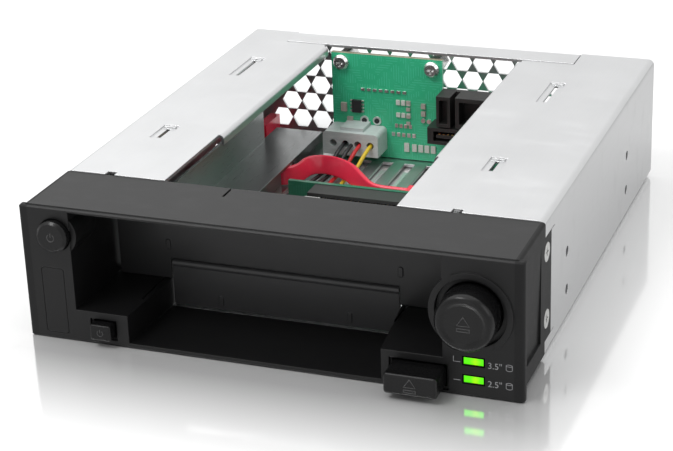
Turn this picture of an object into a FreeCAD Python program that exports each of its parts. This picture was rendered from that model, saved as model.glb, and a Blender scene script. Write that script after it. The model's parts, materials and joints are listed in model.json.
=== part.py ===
"""Two-bay hot swap drive cage for a half-height 5.25 inch bay.

A black moulded bezel with two spring flaps stands in front of a folded steel
cage. The upper bay takes a 3.5 inch drive, the lower slot a 2.5 inch drive.
Lengths are millimetres, +X is right, +Y is back and +Z is up. The pieces are
drawn from the middle of the bezel's lower front edge, and each is then placed
in the frame of the mounting holes: its origin is on the underside of the cage,
midway between the four side hole columns.
"""
import FreeCAD, Part
import math
import os

import Sketcher

doc = FreeCAD.newDocument("drive_cage")
sheet = doc.addObject("Spreadsheet::Sheet", "Sizes")

SIZES = {
    # half-height bay and its screw holes
    "cage_width": 146.0,
    "cage_height": 41.3,
    "cage_depth": 172.0,
    "gauge": 1.0,
    "bend_radius": 2.0,
    "hole_setback": 52.0,
    "hole_pitch": 79.25,
    "hole_low": 10.0,
    "hole_rise": 11.9,
    "hole_radius": 1.55,
    # bezel front plate and body
    "plate_overhang": 1.5,
    "plate_height": 41.3,
    "plate_thick": 2.2,
    "plate_corner": 1.0,
    "plate_bevel": 0.45,
    "plate_drop": 0.6,
    "bezel_depth": 27.0,
    "bezel_top": 41.6,
    "bezel_bottom": 0.9,
    "bezel_edge": 0.9,
    "wall": 1.2,
    "side_wall": 1.6,
    # recess, shelves and slot
    "bay_centre": -5.2,
    "recess_left": 53.6,
    "recess_right": 56.9,
    "recess_top": 40.4,
    "shelf_left": 10.2,
    "shelf_right": 10.9,
    "shelf_reach": 2.2,
    "slot_left": 37.3,
    "slot_right": 39.3,
    "slot_half_back": 36.0,
    "slot_floor": 1.6,
    "groove_left": 38.3,
    "groove_right": 37.6,
    "groove_width": 0.5,
    "groove_front": 12.0,
    "groove_deep": 0.6,
    "slit_left": 14.4,
    "slit_width": 0.7,
    "slit_front": 20.5,
    # drives that go in
    "drive_35_rear": 150.0,
    "drive_25_rear": 101.5,
    # flap doors
    "door_gap": 0.4,
    "door_thick": 1.8,
    "door_half": 52.5,
    "door_top": 40.0,
    "door_foot": 11.1,
    "door_left_foot": 10.4,
    "door_axis_up": 38.7,
    "door_axis_back": 1.6,
    "door_barrel": 1.6,
    "door_pin": 0.8,
    "pin_play": 0.05,
    "door_spring_right": 9.4,
    "door_spring_width": 5.6,
    "door_spring_radius": 1.8,
    "door_spring_room": 2.6,
    "notch_half": 35.8,
    "notch_top": 17.0,
    "flap_half": 35.45,
    "flap_foot": 1.8,
    "flap_top": 16.2,
    "flap_axis_up": 15.2,
    "flap_barrel": 1.3,
    "flap_pin": 0.6,
    "flap_thick": 1.5,
    "nub_width": 1.4,
    "nub_height": 3.2,
    "nub_proud": 0.35,
    # round power button
    "power_inset": 9.45,
    "power_up": 33.1,
    "power_boss": 6.6,
    "power_radius": 4.8,
    "power_proud": 2.5,
    "power_travel": 1.2,
    "power_deep": 6.0,
    "power_stem": 9.6,
    "stem_radius": 1.5,
    # small power button in the left step
    "small_left": 45.1,
    "small_up": 4.95,
    "small_width": 6.6,
    "small_height": 4.9,
    "small_proud": 2.7,
    "small_travel": 1.0,
    "small_deep": 5.0,
    "small_stem": 8.6,
    # knob that ejects the upper drive
    "knob_inset": 13.3,
    "knob_up": 24.9,
    "knob_boss": 11.9,
    "knob_groove": 10.1,
    "knob_radius": 8.4,
    "knob_face": 7.2,
    "knob_proud": 7.6,
    "knob_dish": 5.0,
    "knob_travel": 5.0,
    "ring_proud": 0.6,
    "ring_start": 5.4,
    "ring_finish": 6.5,
    "spring_play": 0.05,
    "boss_deep": 13.0,
    # push button that ejects the lower drive
    "push_right": 50.05,
    "push_up": 4.9,
    "push_width": 15.2,
    "push_height": 6.2,
    "push_proud": 8.0,
    "push_recess": 0.85,
    "push_deep": 10.0,
    "button_play": 0.2,
    "button_round": 0.8,
    # indicator windows
    "light_inset": 12.6,
    "light_low": 5.2,
    "light_pitch": 5.5,
    "light_width": 5.6,
    "light_height": 2.15,
    "light_sink": 0.35,
    "light_deep": 8.0,
    "emitter_deep": 1.4,
    "switch_deep": 2.6,
    # blank insert
    "blank_inset": 7.7,
    "blank_width": 7.2,
    "blank_low": 2.0,
    "blank_height": 20.7,
    "blank_round": 1.0,
    "blank_gap": 0.15,
    "blank_thick": 1.2,
    # fixing ears
    "ear_reach": 6.5,
    "ear_low": 5.5,
    "ear_high": 37.0,
    "ear_screw_back": 28.9,
    "ear_screw_low": 11.8,
    "ear_screw_high": 32.1,
    "screw_head": 2.8,
    "screw_shank": 1.25,
    "screw_head_thick": 1.0,
    "grip_low": 7.0,
    "grip_high": 36.0,
    "grip_back": 22.5,
    "grip_deep": 0.8,
    # folded cage
    "window_left": 35.7,
    "window_right": 35.6,
    "hem_front": 66.5,
    "hem_reach": 1.6,
    "hem_bend": 1.5,
    "hem_drop": 3.2,
    "slit_long": 3.5,
    "lance_near": 53.2,
    "lance_width": 5.2,
    "lance_sink": 0.35,
    "lance_front": 58.8,
    "lance_front_long": 11.5,
    "lance_rear": 120.8,
    "lance_rear_long": 20.0,
    "vent_width": 3.8,
    "vent_pitch": 8.0,
    "vent_front": 128.0,
    "vent_long": 28.0,
    "vent_columns": 10,
    "lip_reach": 2.4,
    # back plate
    "back_flange": 11.3,
    "back_flange_left": 50.2,
    "back_flange_right": 53.2,
    "hex_across": 6.5,
    "hex_pitch": 7.6,
    "hex_rows": 5,
    "hex_columns": 17,
    "hex_low": 9.6,
    # rails
    "rail_front": 32.0,
    "rail_back": 156.0,
    "rail_half": 53.0,
    "rail_top": 10.8,
    "rail_guide": 23.0,
    "rail_inner": 36.5,
    "rail_foot": 7.0,
    # boards and connectors
    "board_thick": 1.6,
    "board_front": 160.0,
    "board_left": 33.6,
    "board_step": 7.1,
    "board_right": 49.0,
    "board_top": 39.6,
    "board_step_up": 26.5,
    "board_foot": 1.9,
    "standoff_radius": 2.6,
    "board_screw_up": 36.2,
    "board_screw_left": 29.9,
    "board_screw_right": 3.4,
    "plug_35_left": 4.2,
    "plug_35_width": 41.6,
    "plug_35_low": 12.0,
    "plug_35_high": 18.0,
    "tongue_reach": 5.0,
    "block_left": 7.6,
    "block_width": 31.0,
    "block_low": 18.6,
    "block_high": 29.6,
    "block_deep": 9.0,
    "power_plug_left": 34.2,
    "power_plug_width": 20.6,
    "power_plug_low": 5.2,
    "power_plug_high": 13.6,
    "power_plug_deep": 10.0,
    "board_25_front": 110.0,
    "board_25_left": 31.5,
    "board_25_right": 20.5,
    "board_25_top": 10.4,
    "plug_25_left": 21.6,
    "plug_25_width": 37.4,
    "plug_25_low": 3.4,
    "plug_25_high": 10.2,
    "contact_width": 0.7,
    "contact_count": 22,
    "wire_radius": 0.7,
    "wire_pitch": 4.6,
    "ribbon_high": 6.6,
    "ribbon_low": 3.1,
    "ribbon_thick": 1.8,
    # ejector levers and rods
    "rod_radius": 1.5,
    "rod_play": 0.08,
    "guide_front": 62.0,
    "guide_back": 128.0,
    "lever_half": 1.5,
    "lever_thick": 2.0,
    "lever_gap": 0.3,
    "lever_pin": 1.2,
    "lever_play": 0.05,
    "lever_35_right": 57.5,
    "lever_35_inner": 9.7,
    "lever_25_right": 42.05,
    "lever_25_inner": 13.0,
    "lever_setback": 2.5,
    "spring_wire": 0.4,
    "spring_radius": 3.2,
    "spring_turns": 5,
}


class Size:
    """A length that keeps the sheet expression that it comes from."""

    def __init__(self, value, text):
        self.value = float(value)
        self.text = text

    def __add__(self, other):
        other = as_size(other)
        return Size(self.value + other.value, "(%s + %s)" % (self.text, other.text))

    def __sub__(self, other):
        other = as_size(other)
        return Size(self.value - other.value, "(%s - %s)" % (self.text, other.text))

    def __mul__(self, other):
        other = as_size(other)
        return Size(self.value * other.value, "(%s * %s)" % (self.text, other.text))

    def __truediv__(self, other):
        other = as_size(other)
        return Size(self.value / other.value, "(%s / %s)" % (self.text, other.text))

    def __neg__(self):
        return Size(-self.value, "(-1 * %s)" % self.text)

    def __radd__(self, other):
        return as_size(other) + self

    def __rsub__(self, other):
        return as_size(other) - self

    def __rmul__(self, other):
        return as_size(other) * self

    def __float__(self):
        return self.value


def as_size(number):
    if isinstance(number, Size):
        return number
    return Size(number, repr(float(number)))


class SheetSizes:
    """Each alias of the sheet as a Size."""

    def __getattr__(self, alias):
        return Size(SIZES[alias], "Sizes." + alias)


for row, (alias, number) in enumerate(SIZES.items(), start=1):
    sheet.set("A%d" % row, alias)
    sheet.set("B%d" % row, repr(number))
    sheet.setAlias("B%d" % row, alias)
doc.recompute()
s = SheetSizes()

LEFT, RIGHT = -1, 1
PAST = 1.0  # how far a cutting tool runs past the face that it cuts
subparts = []


# ---- drawing helpers ----------------------------------------------------

def bind(item, name, size):
    item.setExpression(name, as_size(size).text)


def move(item, x=0.0, y=0.0, z=0.0):
    bind(item, "Placement.Base.x", x)
    bind(item, "Placement.Base.y", y)
    bind(item, "Placement.Base.z", z)


def block(x, y, z):
    """A box between the low and high ends given for each axis."""
    item = doc.addObject("Part::Box", "block")
    bind(item, "Length", x[1] - as_size(x[0]))
    bind(item, "Width", y[1] - as_size(y[0]))
    bind(item, "Height", z[1] - as_size(z[0]))
    move(item, x[0], y[0], z[0])
    return item


TURNS = {
    "x": FreeCAD.Rotation(FreeCAD.Vector(0, 1, 0), 90),
    "y": FreeCAD.Rotation(FreeCAD.Vector(1, 0, 0), -90),
    "z": FreeCAD.Rotation(),
}


def along(item, axis, centre, start):
    """Turn a primitive built along +Z to run along another axis from start."""
    item.Placement = FreeCAD.Placement(FreeCAD.Vector(), TURNS[axis])
    place = {"x": (start, centre[0], centre[1]),
             "y": (centre[0], start, centre[1]),
             "z": (centre[0], centre[1], start)}[axis]
    move(item, *place)
    return item


def bar(axis, centre, radius, span):
    """A round bar along an axis, its centre given on the two other axes."""
    item = doc.addObject("Part::Cylinder", "bar")
    bind(item, "Radius", radius)
    bind(item, "Height", span[1] - as_size(span[0]))
    return along(item, axis, centre, span[0])


def cone(axis, centre, radii, span):
    item = doc.addObject("Part::Cone", "cone")
    bind(item, "Radius1", radii[0])
    bind(item, "Radius2", radii[1])
    bind(item, "Height", span[1] - as_size(span[0]))
    return along(item, axis, centre, span[0])


def hexagon(axis, centre, across, span):
    item = doc.addObject("Part::Prism", "hexagon")
    item.Polygon = 6
    bind(item, "Circumradius", across / as_size(math.sqrt(3.0)))
    bind(item, "Height", span[1] - as_size(span[0]))
    return along(item, axis, centre, span[0])


def fused(items):
    item = doc.addObject("Part::MultiFuse", "fused")
    item.Shapes = items
    item.Refine = True
    return item


def joined(base, items):
    """Fuse items to a large moulding one after another."""
    for piece in items:
        item = doc.addObject("Part::Fuse", "joined")
        item.Base = base
        item.Tool = piece
        base = item
    base.Refine = True
    return base


def group(items):
    item = doc.addObject("Part::Compound", "group")
    item.Links = items
    return item


def carved(base, tools):
    item = doc.addObject("Part::Cut", "carved")
    item.Base = base
    item.Tool = tools[0] if len(tools) == 1 else fused(tools)
    item.Refine = True
    return item


def rounded(base, radius, pick, kind="Part::Fillet"):
    """Round (or bevel) the edges of a piece that pick accepts."""
    doc.recompute()
    item = doc.addObject(kind, "rounded")
    item.Base = base
    wide = float(radius)
    item.Edges = [(number, wide, wide) for number, edge in enumerate(base.Shape.Edges, 1) if pick(edge)]
    return item


def bevelled(base, width, pick):
    return rounded(base, width, pick, "Part::Chamfer")


def runs_along(edge, axis):
    """True where a straight edge lies along an axis."""
    if not isinstance(edge.Curve, (Part.Line, Part.LineSegment)):
        return False
    way = edge.Vertexes[-1].Point - edge.Vertexes[0].Point
    return abs(getattr(way, axis)) > 0.999 * way.Length


def middle(edge):
    return edge.BoundBox.Center


def near(value, size, room=0.01):
    return abs(value - float(size)) < room


class Outline:
    """A closed sketch outline whose corners are bound to the sheet.

    A corner is (across, up) or (across, up, radius); a corner with a radius
    lies between two edges that run along the sketch's axes.
    """

    def __init__(self, sketch, corners):
        self.sketch = sketch
        self.corners = [(as_size(c[0]), as_size(c[1]), as_size(c[2]) if len(c) > 2 else None)
                        for c in corners]
        ends = [self.corner_ends(number) for number in range(len(corners))]
        lines = [self.add_line(ends[n][1], ends[(n + 1) % len(ends)][0]) for n in range(len(ends))]
        for number, corner in enumerate(self.corners):
            line_in = lines[number - 1]
            line_out = lines[number]
            if corner[2] is None:
                self.hold("Coincident", line_in, 2, line_out, 1)
                self.pin(line_out, 1, ends[number][1])
            else:
                self.add_arc(line_in, line_out, ends[number], corner)

    def corner_ends(self, number):
        """The two points where a corner meets its edges."""
        x, y, radius = self.corners[number]
        if radius is None:
            return (x, y), (x, y)
        ends = []
        for other in (self.corners[number - 1], self.corners[(number + 1) % len(self.corners)]):
            dx = other[0].value - x.value
            dy = other[1].value - y.value
            if abs(dx) > abs(dy):
                ends.append((x + radius if dx > 0 else x - radius, y))
            else:
                ends.append((x, y + radius if dy > 0 else y - radius))
        return tuple(ends)

    def hold(self, kind, *where):
        return self.sketch.addConstraint(Sketcher.Constraint(kind, *where))

    def pin(self, line, end, point):
        for kind, size in zip(("DistanceX", "DistanceY"), point):
            number = self.hold(kind, -1, 1, line, end, size.value)
            self.sketch.setExpression("Constraints[%d]" % number, size.text)

    def add_line(self, start, end):
        first = FreeCAD.Vector(start[0].value, start[1].value, 0)
        last = FreeCAD.Vector(end[0].value, end[1].value, 0)
        return self.sketch.addGeometry(Part.LineSegment(first, last), False)

    def add_arc(self, line_in, line_out, ends, corner):
        x, y, radius = (size.value for size in corner)
        first = FreeCAD.Vector(ends[0][0].value, ends[0][1].value, 0)
        last = FreeCAD.Vector(ends[1][0].value, ends[1][1].value, 0)
        centre = first + last - FreeCAD.Vector(x, y, 0)
        swapped = (first - centre).cross(last - centre).z < 0
        start, end = (last, first) if swapped else (first, last)
        ring = Part.Circle(centre, FreeCAD.Vector(0, 0, 1), radius)
        arc = self.sketch.addGeometry(Part.ArcOfCircle(ring, ring.parameter(start), ring.parameter(end)),
                                      False)
        self.pin(line_in, 2, ends[0])
        self.pin(line_out, 1, ends[1])
        self.hold("Coincident", line_in, 2, arc, 2 if swapped else 1)
        self.hold("Coincident", line_out, 1, arc, 1 if swapped else 2)
        number = self.hold("Radius", arc, radius)
        self.sketch.setExpression("Constraints[%d]" % number, corner[2].text)


def sketch_on(body, plane, level, outlines):
    """A sketch on an origin plane of its body, moved along the plane's normal."""
    sketch = body.newObject("Sketcher::SketchObject", "outline")
    support = [item for item in body.Origin.OriginFeatures if item.Role == plane][0]
    sketch.AttachmentSupport = (support, [""])
    sketch.MapMode = "FlatFace"
    bind(sketch, "AttachmentOffset.Base.z", level)
    for corners in outlines:
        Outline(sketch, corners)
    return sketch


def extruded(plane, outlines, span):
    """A padded body: its outlines lie on a plane, its span along the normal.

    XZ outlines are given as (x, z) and span Y, YZ as (y, z) and span X, and
    XY as (x, y) and span Z.
    """
    body = doc.addObject("PartDesign::Body", "profile")
    low, high = as_size(span[0]), as_size(span[1])
    level = -high if plane == "XZ_Plane" else low
    sketch = sketch_on(body, plane, level, outlines)
    pad = body.newObject("PartDesign::Pad", "pad")
    pad.Profile = sketch
    bind(pad, "Length", high - low)
    body.Tip = pad
    return body


def turned(outline, centre, start):
    """A body turned about an axis along Y: its outline is (radius, depth)."""
    body = doc.addObject("PartDesign::Body", "turning")
    sketch = sketch_on(body, "XY_Plane", 0.0, [outline])
    spin = body.newObject("PartDesign::Revolution", "revolution")
    spin.Profile = sketch
    spin.ReferenceAxis = (sketch, ["V_Axis"])
    spin.Angle = 360.0
    body.Tip = spin
    move(body, centre[0], start, centre[1])
    return body


SPRING_RUNS = 10
WIRE_SIDES = 6


def spring(axis, centre, radius, wire, span, turns):
    """A compression spring: its coil in short straight runs of six-sided wire."""
    low, high = float(span[0]), float(span[1])
    coil = float(radius)
    steps = int(turns) * SPRING_RUNS
    points = []
    for step in range(steps + 1):
        angle = 2 * math.pi * step / SPRING_RUNS
        points.append(FreeCAD.Vector(coil * math.cos(angle), coil * math.sin(angle),
                                     (high - low) * step / steps))
    heading = (points[1] - points[0]).normalize()
    across = FreeCAD.Vector(0, 0, 1).cross(heading).normalize()
    upward = heading.cross(across)
    corners = []
    for corner in range(WIRE_SIDES + 1):
        angle = 2 * math.pi * corner / WIRE_SIDES
        corners.append(points[0] + across * float(wire) * math.cos(angle)
                       + upward * float(wire) * math.sin(angle))
    item = doc.addObject("Part::Feature", "spring")
    item.Shape = Part.makePolygon(points).makePipeShell([Part.makePolygon(corners)], True, True, 1)
    place = {"y": FreeCAD.Vector(float(centre[0]), low, float(centre[1])),
             "x": FreeCAD.Vector(low, float(centre[0]), float(centre[1]))}[axis]
    item.Placement = FreeCAD.Placement(place, TURNS[axis])
    return group([item])


def tube(points, radius, bend):
    """A round wire: straight runs joined by tangent arcs of one radius."""
    way = [FreeCAD.Vector(*[float(number) for number in point]) for point in points]
    edges = []
    last = way[0]
    for number in range(1, len(way) - 1):
        here = way[number]
        back = (way[number - 1] - here).normalize()
        ahead = (way[number + 1] - here).normalize()
        half = back.getAngle(ahead) / 2
        reach = bend / math.tan(half)
        first = here + back * reach
        third = here + ahead * reach
        inward = (back + ahead).normalize()
        middle_point = here + inward * (bend / math.sin(half) - bend)
        edges.append(Part.LineSegment(last, first).toShape())
        edges.append(Part.Arc(first, middle_point, third).toShape())
        last = third
    edges.append(Part.LineSegment(last, way[-1]).toShape())
    path = Part.Wire(edges)
    heading = (way[1] - way[0]).normalize()
    ring = Part.Wire([Part.makeCircle(float(radius), way[0], heading)])
    item = doc.addObject("Part::Feature", "tube")
    item.Shape = path.makePipeShell([ring], True, False)
    return item


def subpart(label, item):
    """Name a finished piece and place it in the frame of the side holes."""
    if item.TypeId in ("Part::Box", "Part::Cylinder", "Part::Cone", "Part::Feature"):
        item = group([item])
    item.Label = label
    if item.TypeId == "PartDesign::Body" and item.Tip.TypeId == "PartDesign::Revolution":
        bind(item, "Placement.Base.y", Size(item.Placement.Base.y, item_expression(item, "y")) + origin_y)
        bind(item, "Placement.Base.z", Size(item.Placement.Base.z, item_expression(item, "z")) + origin_z)
    else:
        move(item, 0.0, origin_y, origin_z)
    subparts.append(item)
    return item


def item_expression(item, axis):
    """The expression that a body's place on one axis already has."""
    for path, text in item.ExpressionEngine:
        if path.strip(".") == "Placement.Base." + axis:
            return "(%s)" % text
    return "0.0"


# ---- levels and lines that several pieces share ---------------------------

origin_y = -(s.hole_setback + s.hole_pitch / 2)
origin_z = -s.plate_drop
cage_low = s.plate_drop
cage_high = cage_low + s.cage_height
floor = cage_low + s.gauge
roof = cage_high - s.gauge
half = s.cage_width / 2
bezel_back = s.bezel_depth
recess_left = s.bay_centre - s.recess_left
recess_right = s.bay_centre + s.recess_right
slot_left = s.bay_centre - s.slot_left
slot_right = s.bay_centre + s.slot_right
slot_back_left = s.bay_centre - s.slot_half_back
slot_back_right = s.bay_centre + s.slot_half_back
shelf_back = bezel_back + s.shelf_reach
inner_side = half - s.side_wall
power_x = s.power_inset - half
small_x = s.bay_centre - s.small_left
knob_x = half - s.knob_inset
push_x = s.bay_centre + s.push_right
light_x = half - s.light_inset
blank_x = s.blank_inset - half
door_front = bezel_back + s.door_gap
door_spring_at = (s.bay_centre + s.door_spring_right - s.door_spring_width / 2,
                  s.bay_centre + s.door_spring_right + s.door_spring_width / 2)
axis_y = bezel_back + s.door_axis_back
lug_back = axis_y + s.door_barrel + 1.0


# ---- front bezel ------------------------------------------------------------

def make_bezel():
    """The moulded front: plate, hollow side boxes, recess, shelves and bosses."""
    plate = block((-half - s.plate_overhang, half + s.plate_overhang), (0, s.plate_thick),
                  (0, s.plate_height))
    plate = rounded(plate, s.plate_corner, lambda e: runs_along(e, "z") and near(middle(e).y, 0))
    plate = bevelled(plate, s.plate_bevel, lambda e: runs_along(e, "x") and near(middle(e).y, 0))
    body = block((-half, half), (s.plate_thick / 2, bezel_back), (s.bezel_bottom, s.bezel_top))
    body = rounded(body, s.bezel_edge, lambda e: runs_along(e, "y"))
    shell = fused([plate, body])

    deep = (s.plate_thick, bezel_back + PAST)
    under_top = s.bezel_top - s.wall
    over_floor = s.bezel_bottom + s.wall
    side_boxes = [
        block((-inner_side, recess_left - s.wall), deep, (over_floor, under_top)),
        block((recess_right + s.wall, inner_side), deep, (over_floor, under_top)),
    ]
    front_on = (-PAST, bezel_back + PAST)
    recess = [
        block((recess_left, recess_right), front_on, (s.shelf_right, s.recess_top)),
        block((recess_left, s.bay_centre), front_on, (s.shelf_left, s.shelf_right + PAST)),
    ]
    slot = extruded("XY_Plane", [[(slot_left, -PAST), (slot_right, -PAST), (slot_right, 0),
                                  (slot_back_right, shelf_back), (slot_back_right, shelf_back + PAST),
                                  (slot_back_left, shelf_back + PAST), (slot_back_left, shelf_back),
                                  (slot_left, 0)]],
                    (s.slot_floor, s.shelf_right + PAST))
    shell = carved(shell, side_boxes + recess)

    shelves = [
        block((recess_left - s.wall, slot_back_left), (bezel_back - PAST, shelf_back), (floor, s.shelf_left)),
        block((slot_back_right, recess_right + s.wall), (bezel_back - PAST, shelf_back),
              (floor, s.shelf_right)),
    ]
    lug_top = s.recess_top + s.wall / 5
    tunnel = [
        block((recess_left - s.wall, recess_left), (bezel_back - PAST, lug_back), (floor, lug_top)),
        block((recess_right, recess_right + s.wall), (bezel_back - PAST, lug_back), (floor, lug_top)),
    ]
    lug_low = s.door_axis_up - s.door_barrel - 0.6
    lugs = [
        block((recess_left - s.wall, s.bay_centre - s.door_half - 0.4), (bezel_back, lug_back),
              (lug_low, lug_top)),
        block((s.bay_centre + s.door_half + 0.4, recess_right + s.wall), (bezel_back, lug_back),
              (lug_low, lug_top)),
    ]
    knob_boss = carved(bar("y", (knob_x, s.knob_up), s.knob_boss, (-s.ring_proud, s.boss_deep)),
                       [block((knob_x - s.knob_boss - PAST, knob_x + reach), (-s.ring_proud - PAST, 0),
                              (s.knob_up - s.knob_boss - PAST, s.knob_up + height))
                        for reach, height in ((-s.ring_start, s.knob_boss + PAST), (s.ring_finish, 0))])
    bosses = [bar("y", (power_x, s.power_up), s.power_boss, (PAST / 2, s.boss_deep)), knob_boss]
    ears = [block(span, (bezel_back - PAST, bezel_back + s.ear_reach), (s.ear_low, s.ear_high))
            for span in ((-half, -inner_side), (inner_side, half))]
    spring_wall = block((recess_right + s.wall / 2, knob_x + s.knob_radius),
                        (bezel_back - 2 * s.wall, bezel_back),
                        (s.bezel_bottom + s.wall / 2, s.bezel_top - s.wall / 2))
    shell = joined(shell, shelves + tunnel + lugs + bosses + ears + [spring_wall])

    small_low = s.small_up - s.small_height / 2 - s.button_play
    step_left = [
        block((recess_left + s.wall, slot_left - s.wall), (s.plate_thick, shelf_back + PAST),
              (over_floor, s.shelf_left - s.wall)),
        block((small_x - s.small_width / 2 - s.push_recess, small_x + s.small_width / 2 + s.push_recess),
              (-PAST, 0.9), (small_low - 0.5, s.small_up + s.small_height / 2 + 0.7)),
        block((small_x - s.small_width / 2 - s.button_play, small_x + s.small_width / 2 + s.button_play),
              (-PAST, s.plate_thick + PAST), (small_low, s.small_up + s.small_height / 2 + s.button_play)),
    ]
    push_half = s.push_width / 2
    push_tall = s.push_height / 2
    step_right = [
        block((slot_right + s.wall, push_x + push_half + 2 * s.push_recess),
              (s.plate_thick, bezel_back - 2 * s.wall),
              (over_floor - s.wall / 2, s.shelf_right - s.wall)),
        block((slot_right + s.wall, recess_right - s.wall), (bezel_back, shelf_back + PAST),
              (over_floor - s.wall / 2, s.shelf_right - s.wall)),
        block((push_x - push_half - s.push_recess, push_x + push_half + s.push_recess), (-PAST, 1.0),
              (s.push_up - push_tall - s.push_recess, s.push_up + push_tall + s.push_recess)),
        block((push_x - push_half - s.button_play, push_x + push_half + s.button_play),
              (-PAST, s.plate_thick + PAST),
              (s.push_up - push_tall - s.button_play, s.push_up + push_tall + s.button_play)),
        bar("y", (push_x, s.push_up), s.rod_radius + s.rod_play,
            (bezel_back - 3 * s.wall, shelf_back + PAST)),
    ]
    holes = [
        bar("y", (power_x, s.power_up), s.power_radius + s.button_play, (-PAST, s.boss_deep + PAST)),
        bar("y", (knob_x, s.knob_up), s.knob_groove, (-PAST, 1.6)),
        bar("y", (knob_x, s.knob_up), s.knob_radius + s.button_play, (-PAST, s.boss_deep + PAST)),
        bar("y", (knob_x, s.knob_up), s.rod_radius + s.rod_play,
            (bezel_back - 3 * s.wall, bezel_back + PAST)),
        bar("x", (axis_y, s.door_axis_up), s.door_pin,
            (recess_left - s.wall * 0.7, recess_right + s.wall * 0.7)),
    ]
    for step in (0, 1):
        light_z = s.light_low + step * s.light_pitch
        holes.append(block((light_x - s.light_width / 2, light_x + s.light_width / 2),
                           (-PAST, s.plate_thick + PAST),
                           (light_z - s.light_height / 2, light_z + s.light_height / 2)))
    for x, top in ((s.bay_centre - s.groove_left, s.shelf_left),
                   (s.bay_centre + s.groove_right, s.shelf_right)):
        holes.append(block((x - s.groove_width / 2, x + s.groove_width / 2),
                           (s.groove_front, shelf_back + PAST),
                           (top - s.groove_deep, top + PAST)))
    slit_x = s.bay_centre - s.slit_left
    holes.append(block((slit_x - s.slit_width / 2, slit_x + s.slit_width / 2),
                       (s.slit_front, bezel_back + PAST),
                       (s.recess_top - PAST, s.bezel_top + PAST)))
    insert_space = block((blank_x - s.blank_width / 2, blank_x + s.blank_width / 2), (-PAST, s.blank_thick),
                         (s.blank_low, s.blank_low + s.blank_height))
    holes.append(rounded(insert_space, s.blank_round, lambda e: runs_along(e, "y")))
    for side in (LEFT, RIGHT):
        for up in (s.ear_screw_low, s.ear_screw_high):
            outer = (half + PAST, half - s.screw_head_thick / 2)
            inner = (half, inner_side - PAST)
            for radius, ends in ((s.screw_head + 0.1, outer), (s.screw_shank + 0.15, inner)):
                span = (ends[1], ends[0]) if side == RIGHT else (-ends[0], -ends[1])
                holes.append(bar("x", (s.ear_screw_back, up), radius, span))
        grip = [(side * half, s.grip_high), (side * (half - s.grip_deep), s.grip_low),
                (side * (half + PAST), s.grip_low), (side * (half + PAST), s.grip_high)]
        holes.append(extruded("XZ_Plane", [grip], (s.plate_thick, s.grip_back)))
    return carved(shell, [slot] + step_left + step_right + holes)


subpart("front_bezel", make_bezel())


def make_blank():
    gap = s.blank_gap
    plug = block((blank_x - s.blank_width / 2 + gap, blank_x + s.blank_width / 2 - gap), (0, s.blank_thick),
                 (s.blank_low + gap, s.blank_low + s.blank_height - gap))
    return rounded(plug, s.blank_round - gap, lambda e: runs_along(e, "y"))


subpart("blank_insert", make_blank())


# ---- flap doors -------------------------------------------------------------

def nub(x, z, face):
    """A small upright rib that keeps a drive off the flap's face."""
    rib = block((x - s.nub_width / 2, x + s.nub_width / 2), (face - s.nub_proud, face + s.nub_proud),
                (z - s.nub_height / 2, z + s.nub_height / 2))
    return rounded(rib, s.nub_width * 0.45, lambda e: runs_along(e, "y"))


def make_door():
    """The upper flap: an upturned U with a full-width hinge barrel."""
    left = s.bay_centre - s.door_half
    right = s.bay_centre + s.door_half
    notch_left = s.bay_centre - s.notch_half
    notch_right = s.bay_centre + s.notch_half
    panel = extruded("XZ_Plane", [[(left, s.door_left_foot), (notch_left, s.door_left_foot),
                                   (notch_left, s.notch_top),
                                   (notch_right, s.notch_top), (notch_right, s.door_foot),
                                   (right, s.door_foot),
                                   (right, s.door_top), (left, s.door_top)]],
                     (door_front, door_front + s.door_thick))
    barrel = bar("x", (axis_y, s.door_axis_up), s.door_barrel, (left, right))
    lugs = []
    for x in (notch_left - 2.2, notch_right):
        lugs.append(block((x, x + 2.2), (door_front, axis_y + s.flap_barrel + 0.3),
                          (s.flap_axis_up - s.flap_barrel - 0.3, s.flap_axis_up + s.flap_barrel + 0.3)))
    nubs = [nub(s.bay_centre + side * (s.notch_half + 0.35), s.notch_top + 4.4, door_front)
            for side in (LEFT, RIGHT)]
    ribs = [block((s.bay_centre + place - 0.5, s.bay_centre + place + 0.5),
                  (door_front + s.door_thick / 2, door_front + s.door_thick + 0.8),
                  (s.notch_top + 2, s.door_axis_up - s.door_barrel / 2))
            for place in (-30.0, -10.0, 10.0, 30.0)]
    solid = fused([panel, barrel] + lugs + nubs + ribs)
    cuts = [
        bar("x", (axis_y, s.door_axis_up), s.door_pin + s.pin_play, (left - PAST, right + PAST)),
        bar("x", (axis_y, s.flap_axis_up), s.flap_pin, (notch_left - 2.0, notch_right + 2.0)),
        block((left - PAST, left + 6.0), (door_front - PAST, lug_back),
              (s.door_axis_up - s.door_spring_room, s.door_top + PAST)),
        block(door_spring_at, (door_front - PAST, lug_back),
              (s.door_axis_up - s.door_spring_room, s.door_top + PAST)),
    ]
    return carved(solid, cuts)


subpart("bay_door", make_door())
subpart("bay_door_pin", bar("x", (axis_y, s.door_axis_up), s.door_pin,
                            (recess_left - s.wall * 0.7, recess_right + s.wall * 0.7)))

spring_end = s.spring_wire + s.spring_play
subpart("bay_door_spring", spring("x", (axis_y, s.door_axis_up), s.door_spring_radius, s.spring_wire,
                                  (door_spring_at[0] + spring_end, door_spring_at[1] - spring_end),
                                  s.spring_turns.value))


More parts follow.
